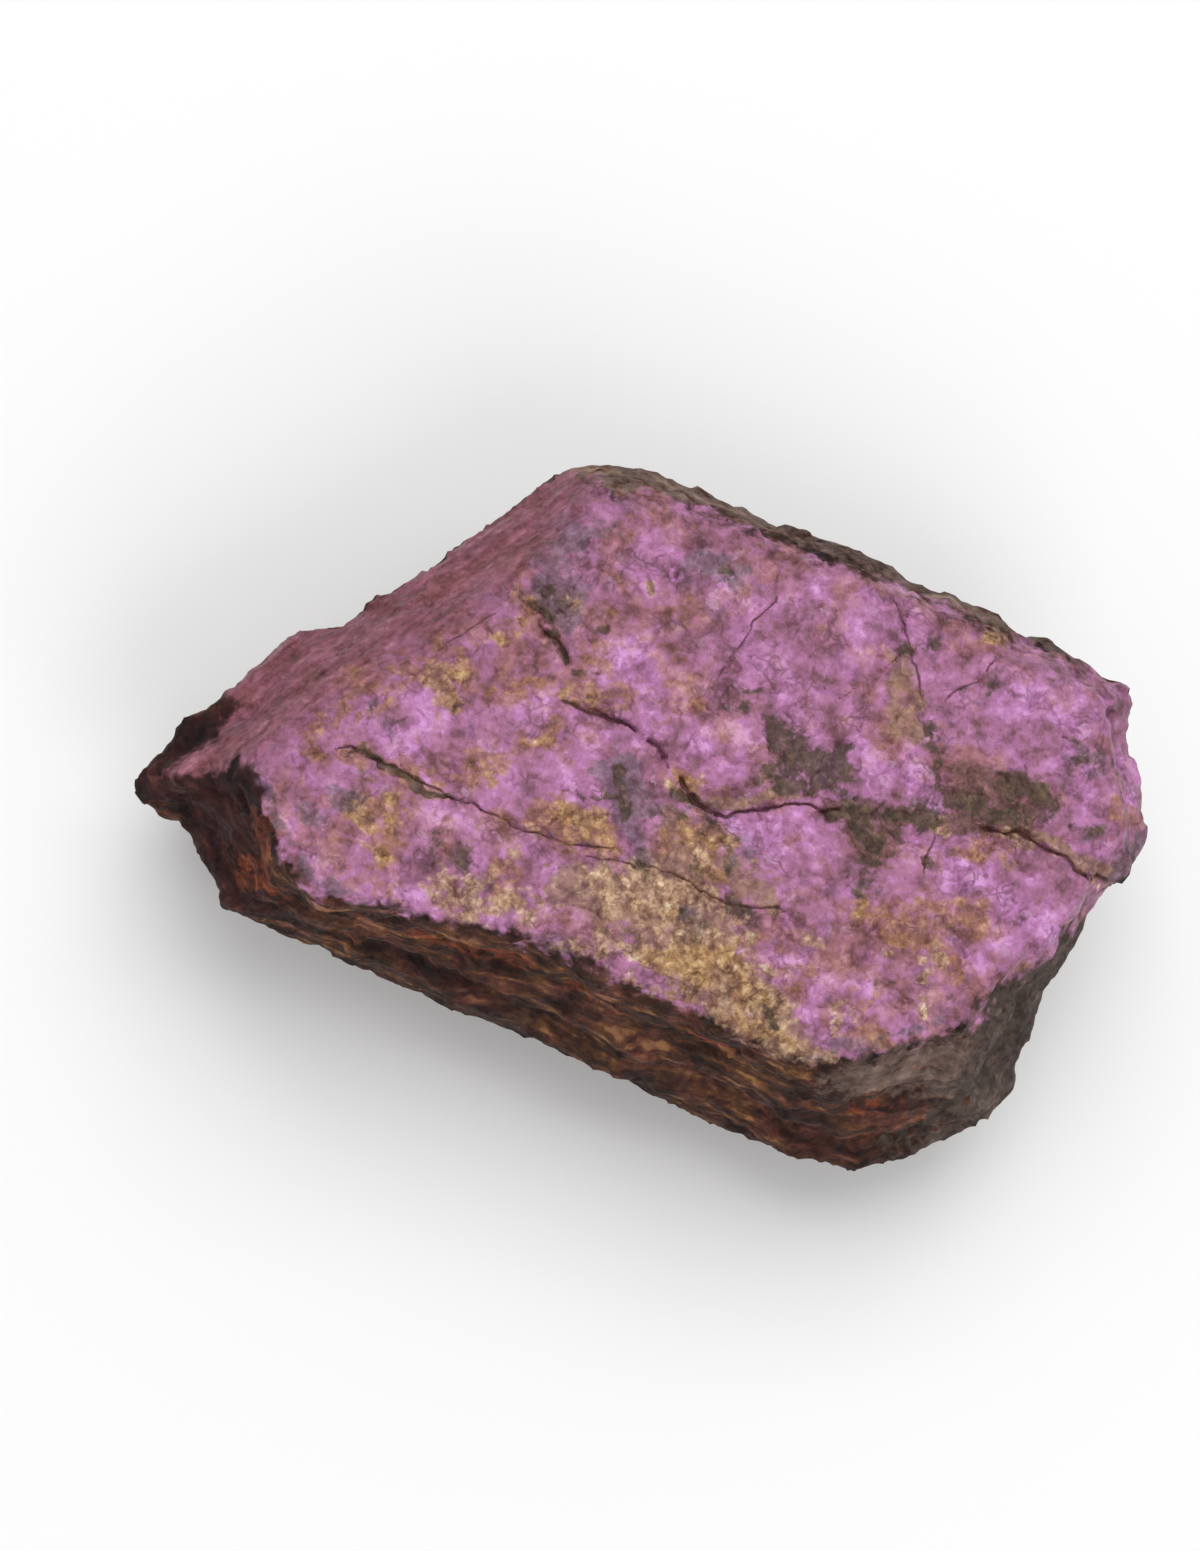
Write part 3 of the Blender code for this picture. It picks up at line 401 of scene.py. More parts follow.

# How light the tones start, and how much the orchid marks, a lighter purple with painted highlights and
# glints, and plum change the purple
STAIN_LIGHT = 0.47
SIDE_LIGHT = 0.46
ORCHID_HIGHLIGHT_LIFT = 0.2
ORCHID_GLINT_SPARKLE = 0.3
PLUM_DARK = 0.3

# Between which values something comes in, some with the noise that is meant
EDGE_STEP = (0.1, 0.75)
EDGE_REACH = (0.02, 0.25)
HAIRLINE_STEP = (0.48, 0.62)
SHOULDER_STEP = (-1.0, 1.6)
BORDER_STEP = (-0.35, 0.3)
CRACK_STEP = (0.45, 0.85)
VIOLET_PLACES = ("tint", 0.5, 0.66)
ROSY_PLACES = ("warmth", 0.48, 0.68)
GLINT_SPECKS = ("crumb 2", 0.97, 0.99)
FILM_WARM = ("warmth", 0.52, 0.7)
FILM_TINTED = ("tint", 0.45, 0.6)
REDDISH_PLACES = ("warmth", 0.44, 0.6)
HIDDEN_BROAD = ("broad", 0.54, 0.66)
HIDDEN_FINE = ("fine", 0.4, 0.62)

# How solid each colour lies over those below it, the stains in order
VIOLET_SHARE = 0.6
ORCHID_HIGHLIGHT_SHARE = 0.5
ROSY_SHARE = 0.75
GLINT_SHARE = 0.2
FILM_SHARE = 0.55
SHOULDER_SHARE = 0.85
HIDDEN_SHARE = 0.6
HIDDEN_MAROON = 0.55
CRACK_SHARE = 0.8
FACE_LAYERS = (
    ("rose", 0.8), ("tan", 0.8), ("brown", 0.85), ("ochre", 0.7), ("cream", 0.9), ("gold", 0.8),
    ("slate", 0.7), ("dark", 0.87),
)
SIDE_LAYERS = (("olive", 0.9), ("charcoal", 0.9), ("maroon", 0.95), ("rust", 0.85))

# Dark lines between grains and in fine cracks: (size of a cell, half width, how solid)
GROUT = (0.9, 0.16, 0.5)
HAIR_CRACKS = (3.4, 0.035, 0.7)

# Colours out of 255, the tones of each from dark to light
# Painted glints: tiny light specks standing in for grains that catch the light
GLINT_COLOUR = (232, 200, 226)
GROUT_COLOUR = (84, 50, 56)
CRACK_COLOUR = (80, 46, 42)
TONES = {
    "magenta": ((92, 55, 62), (134, 86, 104), (166, 109, 142), (190, 126, 172), (216, 156, 210)),
    "violet": ((70, 48, 62), (112, 78, 104), (158, 104, 148), (188, 124, 182), (214, 156, 214)),
    "rose": ((86, 48, 44), (122, 78, 74), (158, 104, 108), (184, 130, 136), (206, 158, 160)),
    "tan": ((98, 70, 58), (134, 102, 84), (160, 126, 100), (190, 158, 130)),
    "brown": ((66, 42, 40), (92, 64, 58), (118, 84, 76), (146, 108, 98)),
    "ochre": ((92, 58, 42), (128, 86, 60), (158, 112, 76), (186, 140, 96), (214, 174, 132)),
    "cream": ((94, 68, 56), (138, 104, 84), (178, 142, 114), (212, 180, 148), (242, 220, 192)),
    "gold": ((98, 68, 50), (140, 102, 68), (178, 138, 92), (208, 170, 120), (236, 208, 164)),
    "slate": ((68, 54, 60), (96, 78, 88), (120, 102, 114), (154, 136, 146)),
    "dark": ((46, 37, 28), (70, 57, 43), (94, 78, 58), (130, 111, 84)),
    # The shoulder's tones are a duller, redder purple, darkened also as painted shade of a slope turned from
    # the light
    "shoulder": ((62, 28, 28), (94, 48, 50), (126, 72, 78), (156, 96, 108), (192, 138, 138)),
    # The sides' tones (beds, reddish and maroon) are the rock's dark brown and also painted shade of sides
    # turned from the light
    "beds": ((28, 15, 13), (46, 27, 21), (68, 42, 30), (98, 63, 40), (154, 108, 70)),
    "reddish": ((28, 14, 14), (50, 26, 24), (76, 42, 36), (108, 64, 50), (150, 104, 80)),
    "olive": ((74, 54, 48), (104, 84, 76), (126, 106, 96), (156, 134, 120)),
    "charcoal": ((42, 33, 31), (66, 54, 50), (92, 78, 71), (130, 113, 104)),
    "maroon": ((26, 13, 14), (44, 22, 23), (62, 32, 32), (90, 54, 50)),
    "rust": ((72, 32, 24), (114, 56, 36), (144, 76, 46), (172, 112, 74)),
}

# How the surface takes the light
SIDE_ROUGHNESS = 0.84
FACE_SILKIER = 0.3
SPECULAR = 0.25
GRAIN_LEAN = 0.3
FACET_LEAN = 0.35
BUMP_DEPTH = 0.3 * MM
BUMP_STRENGTH = 0.6

# Light and floor: (name, place in metres, size in metres, watts)
FLOOR_HALF = 2.0
FLOOR_COLOUR = (0.95, 0.95, 0.95, 1.0)
FLOOR_ROUGHNESS = 0.9
SKY_STRENGTH = 0.46
SOFTBOXES = (
    ("overhead softbox", (-0.06, 0.16, 0.5), 0.4, 1.5),
    ("front softbox", (0.2, -0.3, 0.4), 0.3, 0.72),
)
CLIP_START = 0.01


def view_directions():
    """Right, up and back of the view, rolled as the picture is."""
    level = math.cos(VIEW_ELEVATION)
    back = Vector((math.sin(VIEW_AZIMUTH) * level, -math.cos(VIEW_AZIMUTH) * level, math.sin(VIEW_ELEVATION)))
    right = Vector((math.cos(VIEW_AZIMUTH), math.sin(VIEW_AZIMUTH), 0.0))
    up = back.cross(right)
    rolled_right = right * math.cos(VIEW_ROLL) + up * math.sin(VIEW_ROLL)
    rolled_up = up * math.cos(VIEW_ROLL) - right * math.sin(VIEW_ROLL)
    return rolled_right, rolled_up, back


VIEW_RIGHT, VIEW_UP, VIEW_BACK = view_directions()
VIEW_MIDDLE = Vector((0.0, 0.0, AXIS_HEIGHT)) - VIEW_RIGHT * AXIS_SEEN_AT[0] - VIEW_UP * AXIS_SEEN_AT[1]
VIEW_FROM = VIEW_MIDDLE + VIEW_BACK * VIEW_DISTANCE


def soft_step(low, high, values):
    share = np.clip((values - low) / (high - low), 0.0, 1.0)
    return share * share * (3.0 - 2.0 * share)


def in_picture(places):
    """Where places on the stone show in the picture."""
    offset = places - np.array(VIEW_FROM)
    shrink = -VIEW_DISTANCE / (offset @ np.array(VIEW_BACK))
    return np.stack([offset @ np.array(VIEW_RIGHT), offset @ np.array(VIEW_UP)], axis=1) * shrink[:, None]


def wandered(seen, turns):
    """Places in the picture pushed about a little, so that what is drawn there wanders."""
    moved = seen.copy()
    for size, distance in turns:
        push = [noise.noise_vector(Vector((x / size, y / size, size))) for x, y in seen]
        moved += distance * np.array(push)[:, :2]
    return moved


def to_stretch(places, start, end):
    """Distance of places from a straight stretch, and how far along it each one's nearest point is."""
    start, along = np.array(start), np.array(end) - np.array(start)
    share = np.clip((places - start) @ along / (along @ along), 0.0, 1.0)
    return np.linalg.norm(places - start - share[:, None] * along, axis=1), share


def to_line(places, line):
    """Distance of places from a bent line, the share of its length passed, and the side: 1 left, -1 right."""
    lengths = [math.dist(start, end) for start, end in zip(line, line[1:])]
    nearest = np.full(len(places), np.inf)
    passed, side = np.zeros(len(places)), np.ones(len(places))
    done = 0.0
    for start, end, length in zip(line, line[1:], lengths):
        away, share = to_stretch(places, start, end)
        closer = away < nearest
        nearest[closer] = away[closer]
        passed[closer] = (done + share[closer] * length) / sum(lengths)
        offset = places[closer] - np.array(start)
        turn = (end[0] - start[0]) * offset[:, 1] - (end[1] - start[1]) * offset[:, 0]
        side[closer] = np.where(turn > 0.0, 1.0, -1.0)
        done += length
    return nearest, passed, side


def inside(places, outline):
    """Whether each place is inside a closed outline."""
    within = np.zeros(len(places), bool)
    for (x0, y0), (x1, y1) in zip(outline, outline[1:] + outline[:1]):
        if y0 == y1:
            continue
        spans = (places[:, 1] < y0) != (places[:, 1] < y1)
        crossing = x0 + (places[:, 1] - y0) * (x1 - x0) / (y1 - y0)
        within ^= spans & (places[:, 0] < crossing)
    return within


def stroke(away, radius):
    """How strongly a stroke marks places near its line: full out to half its radius, and half at its edge."""
    return np.clip(STROKE_EDGE - away / radius, 0.0, 1.0)


def stained(places, strokes):
    """How strongly the strokes of one stain colour each place."""
    amount = np.zeros(len(places))
    for *ends, radius, strength in strokes:
        away, _ = to_stretch(places, *np.reshape(ends, (2, -1)))
        amount = np.maximum(amount, strength * stroke(away, radius))
    return amount


def corner_places(bm):
    return np.array([corner.co for corner in bm.verts]) / MM


def corner_normals(bm):
    bm.normal_update()
    return np.array([corner.normal for corner in bm.verts])


def in_scene(name, data):
    """A new object in the scene, at the origin."""
    thing = bpy.data.objects.new(name, data)
    bpy.context.scene.collection.objects.link(thing)
    return thing


def object_of(bm, name):
    mesh = bpy.data.meshes.new(name)
    bm.to_mesh(mesh)
    return in_scene(name, mesh)


def smooth(bm, corners, rounds):
    axes = {"use_axis_x": True, "use_axis_y": True, "use_axis_z": True}
    for _ in range(rounds):
        bmesh.ops.smooth_vert(bm, verts=corners, factor=SMOOTHING, **axes)


def split_between(bm, wanted):
    """Every edge between two wanted corners is halved."""
    bm.verts.index_update()
    edges = [edge for edge in bm.edges if wanted[edge.verts[0].index] and wanted[edge.verts[1].index]]
    bmesh.ops.subdivide_edges(bm, edges=edges, cuts=1, use_grid_fill=True)
    bmesh.ops.triangulate(bm, faces=[face for face in bm.faces if len(face.verts) > 3])


def even_skin():
    """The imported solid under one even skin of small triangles, with its flat facets smoothed off."""
    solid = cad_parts["purpurite_stone"]
    bm = bmesh.new()
    bm.from_mesh(solid.data)
    bmesh.ops.remove_doubles(bm, verts=bm.verts[:], dist=MERGE_DISTANCE)
    unfinished = object_of(bm, "unfinished skin")
    remesh = unfinished.modifiers.new("skin", "REMESH")
    remesh.mode = "VOXEL"
    remesh.voxel_size = SKIN_GRID * MM
    bm.clear()
    bm.from_object(unfinished, bpy.context.evaluated_depsgraph_get())
    bpy.data.meshes.remove(unfinished.data)
    bmesh.ops.triangulate(bm, faces=bm.faces[:])
    smooth(bm, bm.verts[:], FACET_ROUNDS)
    return bm


def depth_inside(seen, outline):
    """How far inside a closed outline each place shows, below zero outside."""
    away, _, _ = to_line(seen, outline + outline[:1])
    return np.where(inside(seen, outline), away, -away)


def crack_distance(seen):
    return np.min([to_line(seen, line)[0] for line, _, _ in CRACKS], axis=0)


def seen_from_view(bm):
    """Where the corners show in the picture, and whether each one is turned enough towards the view."""
    return in_picture(corner_places(bm)), corner_normals(bm) @ np.array(VIEW_BACK) > FACING_FINE


def refine(bm):
    """The wide grooves of the solid are filled, and the skin is made finer where the picture shows detail."""
    seen, shows = seen_from_view(bm)
    grooved = (crack_distance(seen) < CRACK_FILL_REACH) & shows
    smooth(bm, [corner for corner, within in zip(bm.verts, grooved) if within], CRACK_FILL_ROUNDS)
    split_between(bm, (depth_inside(seen, FACE_BORDER) > FINE_FROM_BORDER) & shows)
    seen, shows = seen_from_view(bm)
    split_between(bm, (crack_distance(wandered(seen, CRACK_WANDER)) < CRACK_FINE_REACH) & shows)


def facets(place, sizes):
    """Small flat breaks, each leaning its own way."""
    height = 0.0
    for size, depth in sizes:
        spot = place / size
        middle = noise.voronoi(spot)[1][0]
        lean = noise.cell_vector(middle) - NOISE_MIDDLE
        height += depth * lean.dot(spot - middle)
    return height


def layered(spot, layers):
    fade, count = layers
    return noise.fractal(spot, fade, LAYER_SHRINK, count)


def grain(place, size, depth):
    return depth * layered(place / size, GRAIN_LAYERS)


def bed_height(bed):
    """How far one bed stands out, as a share from -0.5 to 0.5."""
    return noise.cell(Vector((0.0, 0.0, bed)) + NOISE_MIDDLE) - 0.5


def ledges(place):
    """Thin beds of the broken sides, each standing out by its own amount."""
    wave_size, wave_height = LEDGE_WAVE
    wave = wave_height * noise.noise(place / wave_size)
    level = (place.z + LEDGE_DIP * place.x + wave) / LEDGE_THICKNESS
    bed = math.floor(level)
    below, own = bed_height(bed - 1), bed_height(bed)
    share = min(1.0, (level - bed) / LEDGE_RISE)
    return LEDGE_DEPTH * (below + (own - below) * share)


def streaks(place):
    """Fine streaks along the shoulder."""
    across, along = place.dot(STREAK_ACROSS) / STREAK_WIDTH, place.dot(STREAK_ALONG) / STREAK_LENGTH
    return STREAK_DEPTH * layered(Vector((across, along, place.z / STREAK_LENGTH)), STREAK_LAYERS)


def cracked(seen):
    """How far the cracks sink each place or their lips lift it, and how dark it is with them."""
    sunk, darkness = np.zeros(len(seen)), np.zeros(len(seen))
    for line, half_width, depth in CRACKS:
        away, passed, side = to_line(seen, line)
        taper = soft_step(0.0, CRACK_TAPER, np.minimum(passed, 1.0 - passed))
        groove = depth * taper * np.clip(1.0 - away / (GROOVE_WIDER * half_width), 0.0, 1.0)
        lip = CRACK_LIP * depth * taper * np.exp(-away / CRACK_LIP_REACH) * (side > 0.0)
        sunk = np.where(groove > 0.0, np.maximum(sunk, groove), sunk - lip)
        strength = min(1.0, CRACK_FAINT + CRACK_GAIN * half_width)
        darkness = np.maximum(darkness, strength * taper * stroke(away, half_width))
    return sunk, darkness


def relief(place, on_face, on_shoulder, level):
    """How far one place stands out, from how much it belongs to the face and the shoulder."""
    swell_size, swell_height = FACE_SWELLS
    face = swell_height * layered(place / swell_size, SWELL_LAYERS)
    face += facets(place, FACE_FACETS) + grain(place, *FACE_GRAIN)
    shoulder = face * SHOULDER_RELIEF + streaks(place)
    side = facets(place, SIDE_FACETS) + grain(place, *SIDE_GRAIN) + ledges(place) * level
    coloured = face + (shoulder - face) * on_shoulder
    return side + (coloured - side) * on_face


def outlined(seen, outline):
    """How strongly an outlined stain colours each place: half on the outline, full a little inside it."""
    return np.clip(0.5 + depth_inside(seen, outline) / OUTLINE_SOFTNESS, 0.0, 1.0)


def colour_marks(places, seen, facing, shown):
    """The marks that the colours are mixed from, apart from the cracks: one value a corner."""
    away, _, side = to_line(seen, SHOULDER_RIDGE)
    towards = (facing - FACING_COLOURED) * FACING_SCALE
    border = depth_inside(seen, FACE_BORDER)
    marks = {
        "face": np.minimum.reduce([border, towards, places[:, 2] - FACE_LOWEST]),
        "shoulder": away * side,
        "hidden": soft_step(*FACING_HIDDEN, facing),
    }
    wandering = wandered(seen, STAIN_WANDER)
    for kind, strokes in STAINS_AND_HIGHLIGHTS.items():
        marks[kind] = stained(wandering, strokes) * shown
    nudged = wandered(seen, OUTLINE_WANDER)
    for kind, outline in OUTLINED.items():
        marks[kind] = np.maximum(marks.get(kind, 0.0), outlined(nudged, outline) * shown)
    for kind, strokes in SIDE_STAINS.items():
        marks[kind] = stained(places, strokes)
    return marks


def relief_height(places, normals, marks):
    """How far the relief, without the cracks, lifts each corner."""
    on_face = soft_step(*FACE_CHANGE, marks["face"])
    on_shoulder = soft_step(*SHOULDER_CHANGE, marks["shoulder"]) * on_face
    level = soft_step(*LEDGE_LEVEL, np.abs(normals[:, 2])) * soft_step(*LEDGE_CHANGE, marks["face"])
    height = np.array([
        relief(Vector(place), *shares) for place, *shares in zip(places, on_face, on_shoulder, level)])
    crumbs = np.array([layered(Vector(place) / CRUMB_SIZE, CRUMB_LAYERS) for place in places])
    crust = np.maximum(marks["cream"], marks["gold"]) * on_face
    height += CRUMB_HEIGHT * crumbs * np.clip(crust, 0.0, 1.0)
    return height - DARK_SUNK * soft_step(*DARK_STEP, marks["dark"] + DARK_CRUMBLED * crumbs) * on_face


def weather(bm):
    """The skin gets its fine relief, and each corner its marks."""
    places, normals = corner_places(bm), corner_normals(bm)
    seen, facing = in_picture(places), normals @ np.array(VIEW_BACK)
    shown = soft_step(*FACING_STAINED, facing)
    marks = colour_marks(places, seen, facing, shown)
    sunk, darkness = cracked(wandered(seen, CRACK_WANDER))
    marks["crack"] = darkness * shown
    height = relief_height(places, normals, marks)
    height -= sunk * shown * soft_step(*CRACK_CHANGE, marks["face"])
    rests = (places[:, 2] < FLOOR_TOUCH) & (normals[:, 2] < RESTS_FACING)
    places += normals * np.where(rests, 0.0, height)[:, None]
    places[rests, 2] = 0.0
    places[:, 2] = np.maximum(places[:, 2], 0.0)
    for corner, place in zip(bm.verts, places):
        corner.co = place * MM
    return marks


def make_stone():
    bm = even_skin()
    refine(bm)
    marks = weather(bm)
    bmesh.ops.recalc_face_normals(bm, faces=bm.faces[:])
    stone = object_of(bm, STONE_NAME)
    bm.free()
    stone.data.shade_smooth()
    for name, values in marks.items():
        stored = stone.data.attributes.new(name, "FLOAT", "POINT")
        stored.data.foreach_set("value", values.astype(np.float32))
    return stone


class Nodes:
    """Short ways to add nodes to one node tree. Sizes are millimetres, colours are out of 255."""

    def __init__(self, tree):
        self.tree = tree

    def put(self, value, socket):
        if isinstance(value, bpy.types.NodeSocket):
            self.tree.links.new(value, socket)
        else:
            socket.default_value = value

    def add(self, kind, inputs, **settings):
        node = self.tree.nodes.new(kind)
        for name, value in settings.items():
            setattr(node, name, value)
        for socket, value in inputs.items():
            self.put(value, node.inputs[socket])
        return node

    def math(self, operation, first, second=0.0):
        return self.add("ShaderNodeMath", {0: first, 1: second}, operation=operation).outputs[0]

    def times(self, first, second):
        return self.math("MULTIPLY", first, second)

    def vector(self, operation, first, second):
        return self.add("ShaderNodeVectorMath", {0: first, 1: second}, operation=operation).outputs[0]

    def blend(self, start, *swings):
        """A start value with others swung about their middle added to it: (value, how much of it)."""
        total = start
        for value, share in swings:
            centred = self.math("SUBTRACT", value, 0.5)
            total = self.math("ADD", total, self.times(centred, share))
        return total

    def mix(self, share, first, second):
        """Two colours mixed. Sockets 6, 7 and 2 are the colour ones of the node."""
        return self.add("ShaderNodeMix", {0: share, 6: first, 7: second}, data_type="RGBA").outputs[2]

    def step(self, low, high, value):
        inputs = {"Value": value, "From Min": low, "From Max": high}
        return self.add("ShaderNodeMapRange", inputs, interpolation_type="SMOOTHSTEP").outputs[0]

    def noise(self, place, size, layers, roughness):
        inputs = {"Vector": place, "Scale": 1.0 / (size * MM), "Detail": layers, "Roughness": roughness}
        return self.add("ShaderNodeTexNoise", inputs).outputs["Fac"]

    def cells(self, place, size):
        return self.add("ShaderNodeTexVoronoi", {"Vector": place, "Scale": 1.0 / (size * MM)}).outputs

    def channels(self, colour):
        return self.add("ShaderNodeSeparateColor", {0: colour}).outputs

    def lean(self, colour, amount):
        """A random colour as a short vector that may point to any side."""
        centred = self.vector("SUBTRACT", colour, NOISE_MIDDLE)
        return self.vector("MULTIPLY", centred, (amount, amount, amount))

    def pushed(self, place, scale, distance):
        """The place pushed about by a noise, so that a pattern there is less regular."""
        inputs = {"Vector": place, "Scale": scale, "Detail": PUSH_LAYERS}
        wobble = self.add("ShaderNodeTexNoise", inputs).outputs["Color"]
        return self.vector("ADD", place, self.lean(wobble, distance))

    def mark(self, name):
        return self.add("ShaderNodeAttribute", {}, attribute_name=name).outputs["Fac"]

    def tones(self, value, colours):
        """Colours spread evenly from dark to light."""
        node = self.add("ShaderNodeValToRGB", {"Fac": value})
        stops = node.color_ramp.elements
        for _ in colours[2:]:
            stops.new(0.5)
        for step, colour in enumerate(colours):
            stops[step].position = step / (len(colours) - 1)
            stops[step].color = paint(colour)
        return node.outputs["Color"]

    def group(self, tree, inputs):
        return self.add("ShaderNodeGroup", inputs, node_tree=tree).outputs


def linear_light(part):
    """One part of a colour, from 0 to 1, in Blender's linear light: the sRGB curve."""
    return part / 12.92 if part < 0.04 else ((part + 0.055) / 1.055) ** 2.4


def paint(colour):
    """A colour out of 255, as a socket takes it."""
    return (*[linear_light(part / 255.0) for part in colour], 1.0)


def new_group(name, inputs, outputs):
    """A node group, with the nodes that its inputs and outputs come and go through."""
    tree = bpy.data.node_groups.new(name, "ShaderNodeTree")
    for direction, sockets in (("INPUT", inputs), ("OUTPUT", outputs)):
        for socket, kind in sockets.items():
            tree.interface.new_socket(socket, in_out=direction, socket_type="NodeSocket" + kind)
    return tree, tree.nodes.new("NodeGroupInput").outputs, tree.nodes.new("NodeGroupOutput").inputs


def crumbled_edge_group():
    """Turns the soft amount of a stain into patches with crumbled edges."""
    sockets = {"Place": "Vector", "Grain": "Float", "Amount": "Float", "Shift": "Vector"}
    tree, entry, leave = new_group("crumbled edge", sockets, {"Mask": "Float"})
    n = Nodes(tree)
    patchy = n.noise(n.vector("ADD", entry["Place"], entry["Shift"]), *EDGE_NOISE)
    start = n.times(entry["Amount"], EDGE_AMOUNT)
    amount = n.blend(start, (patchy, EDGE_PATCHY), (entry["Grain"], EDGE_GRAINY))
    mask = n.times(n.step(*EDGE_STEP, amount), n.step(*EDGE_REACH, entry["Amount"]))
    n.put(mask, leave["Mask"])
    return tree


def hairline_group():
    """Thin broken seams between cells, such as fine cracks and the grout between grains."""
    sockets = {"Place": "Vector", "Size": "Float", "Width": "Float"}
    tree, entry, leave = new_group("hairlines", sockets, {"Mask": "Float"})
    n = Nodes(tree)
    inputs = {"Vector": n.pushed(entry["Place"], *HAIRLINE_PUSH), "Scale": entry["Size"]}
    seam = n.add("ShaderNodeTexVoronoi", inputs, feature="DISTANCE_TO_EDGE").outputs["Distance"]
    near = n.math("SUBTRACT", 1.0, n.math("DIVIDE", seam, entry["Width"]))
    broken = n.step(*HAIRLINE_STEP, n.noise(entry["Place"], *HAIRLINE_NOISE))
    n.put(n.times(n.math("MAXIMUM", near, 0.0), broken), leave["Mask"])
    return tree


class StoneTones:
    """The noises that the stone's colours share, and the node groups that its finishes use."""

    def __init__(self, n):
        self.n = n
        self.place = n.add("ShaderNodeTexCoord", {}).outputs["Object"]
        self.crumb_place = n.pushed(self.place, *CRUMB_PUSH)
        self.swings = {}
        for name, (aside, *sizes) in NOISES.items():
            self.swings[name] = n.noise(n.vector("ADD", self.place, aside), *sizes)
        self.grain_colour = n.cells(self.place, GRAIN_SIZE)["Color"]
        crumb = n.cells(self.crumb_place, CRUMB_WIDTH)
        self.swings["crumb height"] = n.math("SUBTRACT", 1.0, crumb["Distance"])
        for form, colour in (("grain", self.grain_colour), ("crumb", crumb["Color"])):
            for number, channel in enumerate(n.channels(colour)):
                self.swings[f"{form} {number}"] = channel
        self.crumbled = crumbled_edge_group()
        self.hairlines = hairline_group()
        self.shift = 0.0

    def swung(self, start, shares):
        """A start value with the named noises swung about it, each by its share."""
        return self.n.blend(start, *[(self.swings[name], share) for name, share in shares.items()])

    def where(self, name, low, high):
        """Where a named noise rises past its limits."""
        return self.n.step(low, high, self.swings[name])

    def patches(self, kind, share):
        """Where a stain lies, at most as solid as its share. Each one has its own part of the noise."""
        self.shift += PATCH_SHIFT
        inputs = {
            "Place": self.place, "Grain": self.swings["grain 1"], "Amount": self.n.mark(kind),
            "Shift": (self.shift, 0.0, 0.0)}
        return self.n.times(self.n.group(self.crumbled, inputs)["Mask"], share)

    def lines(self, size, width, share):
        inputs = {"Place": self.place, "Size": 1.0 / (size * MM), "Width": width}
        return self.n.times(self.n.group(self.hairlines, inputs)["Mask"], share)


def purple_tones(n, tones):
    """The purple of the fresh face, from violet through magenta to rosy brown, lighter with painted
    highlights and glints where the orchid marks lie, and with tiny painted glint specks.
    """
    # The orchid marks lighten the purple, partly as painted highlights, and sparkle it with painted glints
    orchid_and_highlight = n.mark("orchid_and_highlight")
    light = tones.swung(0.5, PURPLE_SWINGS)
    light = n.math("ADD", light, n.times(orchid_and_highlight, ORCHID_HIGHLIGHT_LIFT))
    light = n.math("SUBTRACT", light, n.times(n.mark("plum"), PLUM_DARK))
    glint_sparkle = n.times(orchid_and_highlight, n.math("SUBTRACT", tones.swings["crumb 0"], 0.5))
    light = n.math("ADD", light, n.times(glint_sparkle, ORCHID_GLINT_SPARKLE))
    magenta, violet, rosy = (n.tones(light, TONES[name]) for name in ("magenta", "violet", "rose"))
    vivid = n.times(tones.where(*VIOLET_PLACES), VIOLET_SHARE)
    vivid = n.math("MAXIMUM", vivid, n.times(orchid_and_highlight, ORCHID_HIGHLIGHT_SHARE))
    colour = n.mix(vivid, magenta, violet)
    colour = n.mix(n.times(tones.where(*ROSY_PLACES), ROSY_SHARE), colour, rosy)
    # Tiny light specks here are painted glints
    glints = n.times(tones.where(*GLINT_SPECKS), GLINT_SHARE)
    return n.mix(glints, colour, paint(GLINT_COLOUR)), rosy


def face_tones(n, tones, purple, rosy):
    """The purple with its stains, crusts and hairlines."""
    even, crusty = (tones.swung(STAIN_LIGHT, swings) for swings in (EVEN_SWINGS, CRUSTY_SWINGS))
    finish = {kind: n.tones(even, TONES[kind]) for kind in ("tan", "brown", "ochre", "slate", "dark")}
    finish.update({kind: n.tones(crusty, TONES[kind]) for kind in ("cream", "gold")})
    finish["rose"] = rosy
    film = n.times(tones.where(*FILM_WARM), tones.where(*FILM_TINTED))
    colour = n.mix(n.times(film, FILM_SHARE), purple, finish["ochre"])
    for kind, share in FACE_LAYERS:
        colour = n.mix(tones.patches(kind, share), colour, finish[kind])
    dark_lines = n.math("MAXIMUM", tones.lines(*GROUT), tones.lines(*HAIR_CRACKS))
    return n.mix(dark_lines, colour, paint(GROUT_COLOUR))


def with_shoulder(n, tones, colour):
    """The slope beside the face, streaked along its length: a duller, redder purple, darker also as painted
    shade where the slope turns from the light.
    """
    inputs = {"Vector": tones.place, "Rotation": (0.0, 0.0, SHOULDER_TURN), "Scale": SHOULDER_STRETCH}
    along = n.add("ShaderNodeMapping", inputs, vector_type="TEXTURE").outputs[0]
    tones.swings["streaks"] = n.noise(along, *SHOULDER_NOISE)
    shaded_dull = n.tones(tones.swung(0.5, SHOULDER_SWINGS), TONES["shoulder"])
    edge = tones.swung(n.mark("shoulder"), SHOULDER_EDGE_SWINGS)
    return n.mix(n.times(n.step(*SHOULDER_STEP, edge), SHOULDER_SHARE), colour, shaded_dull)


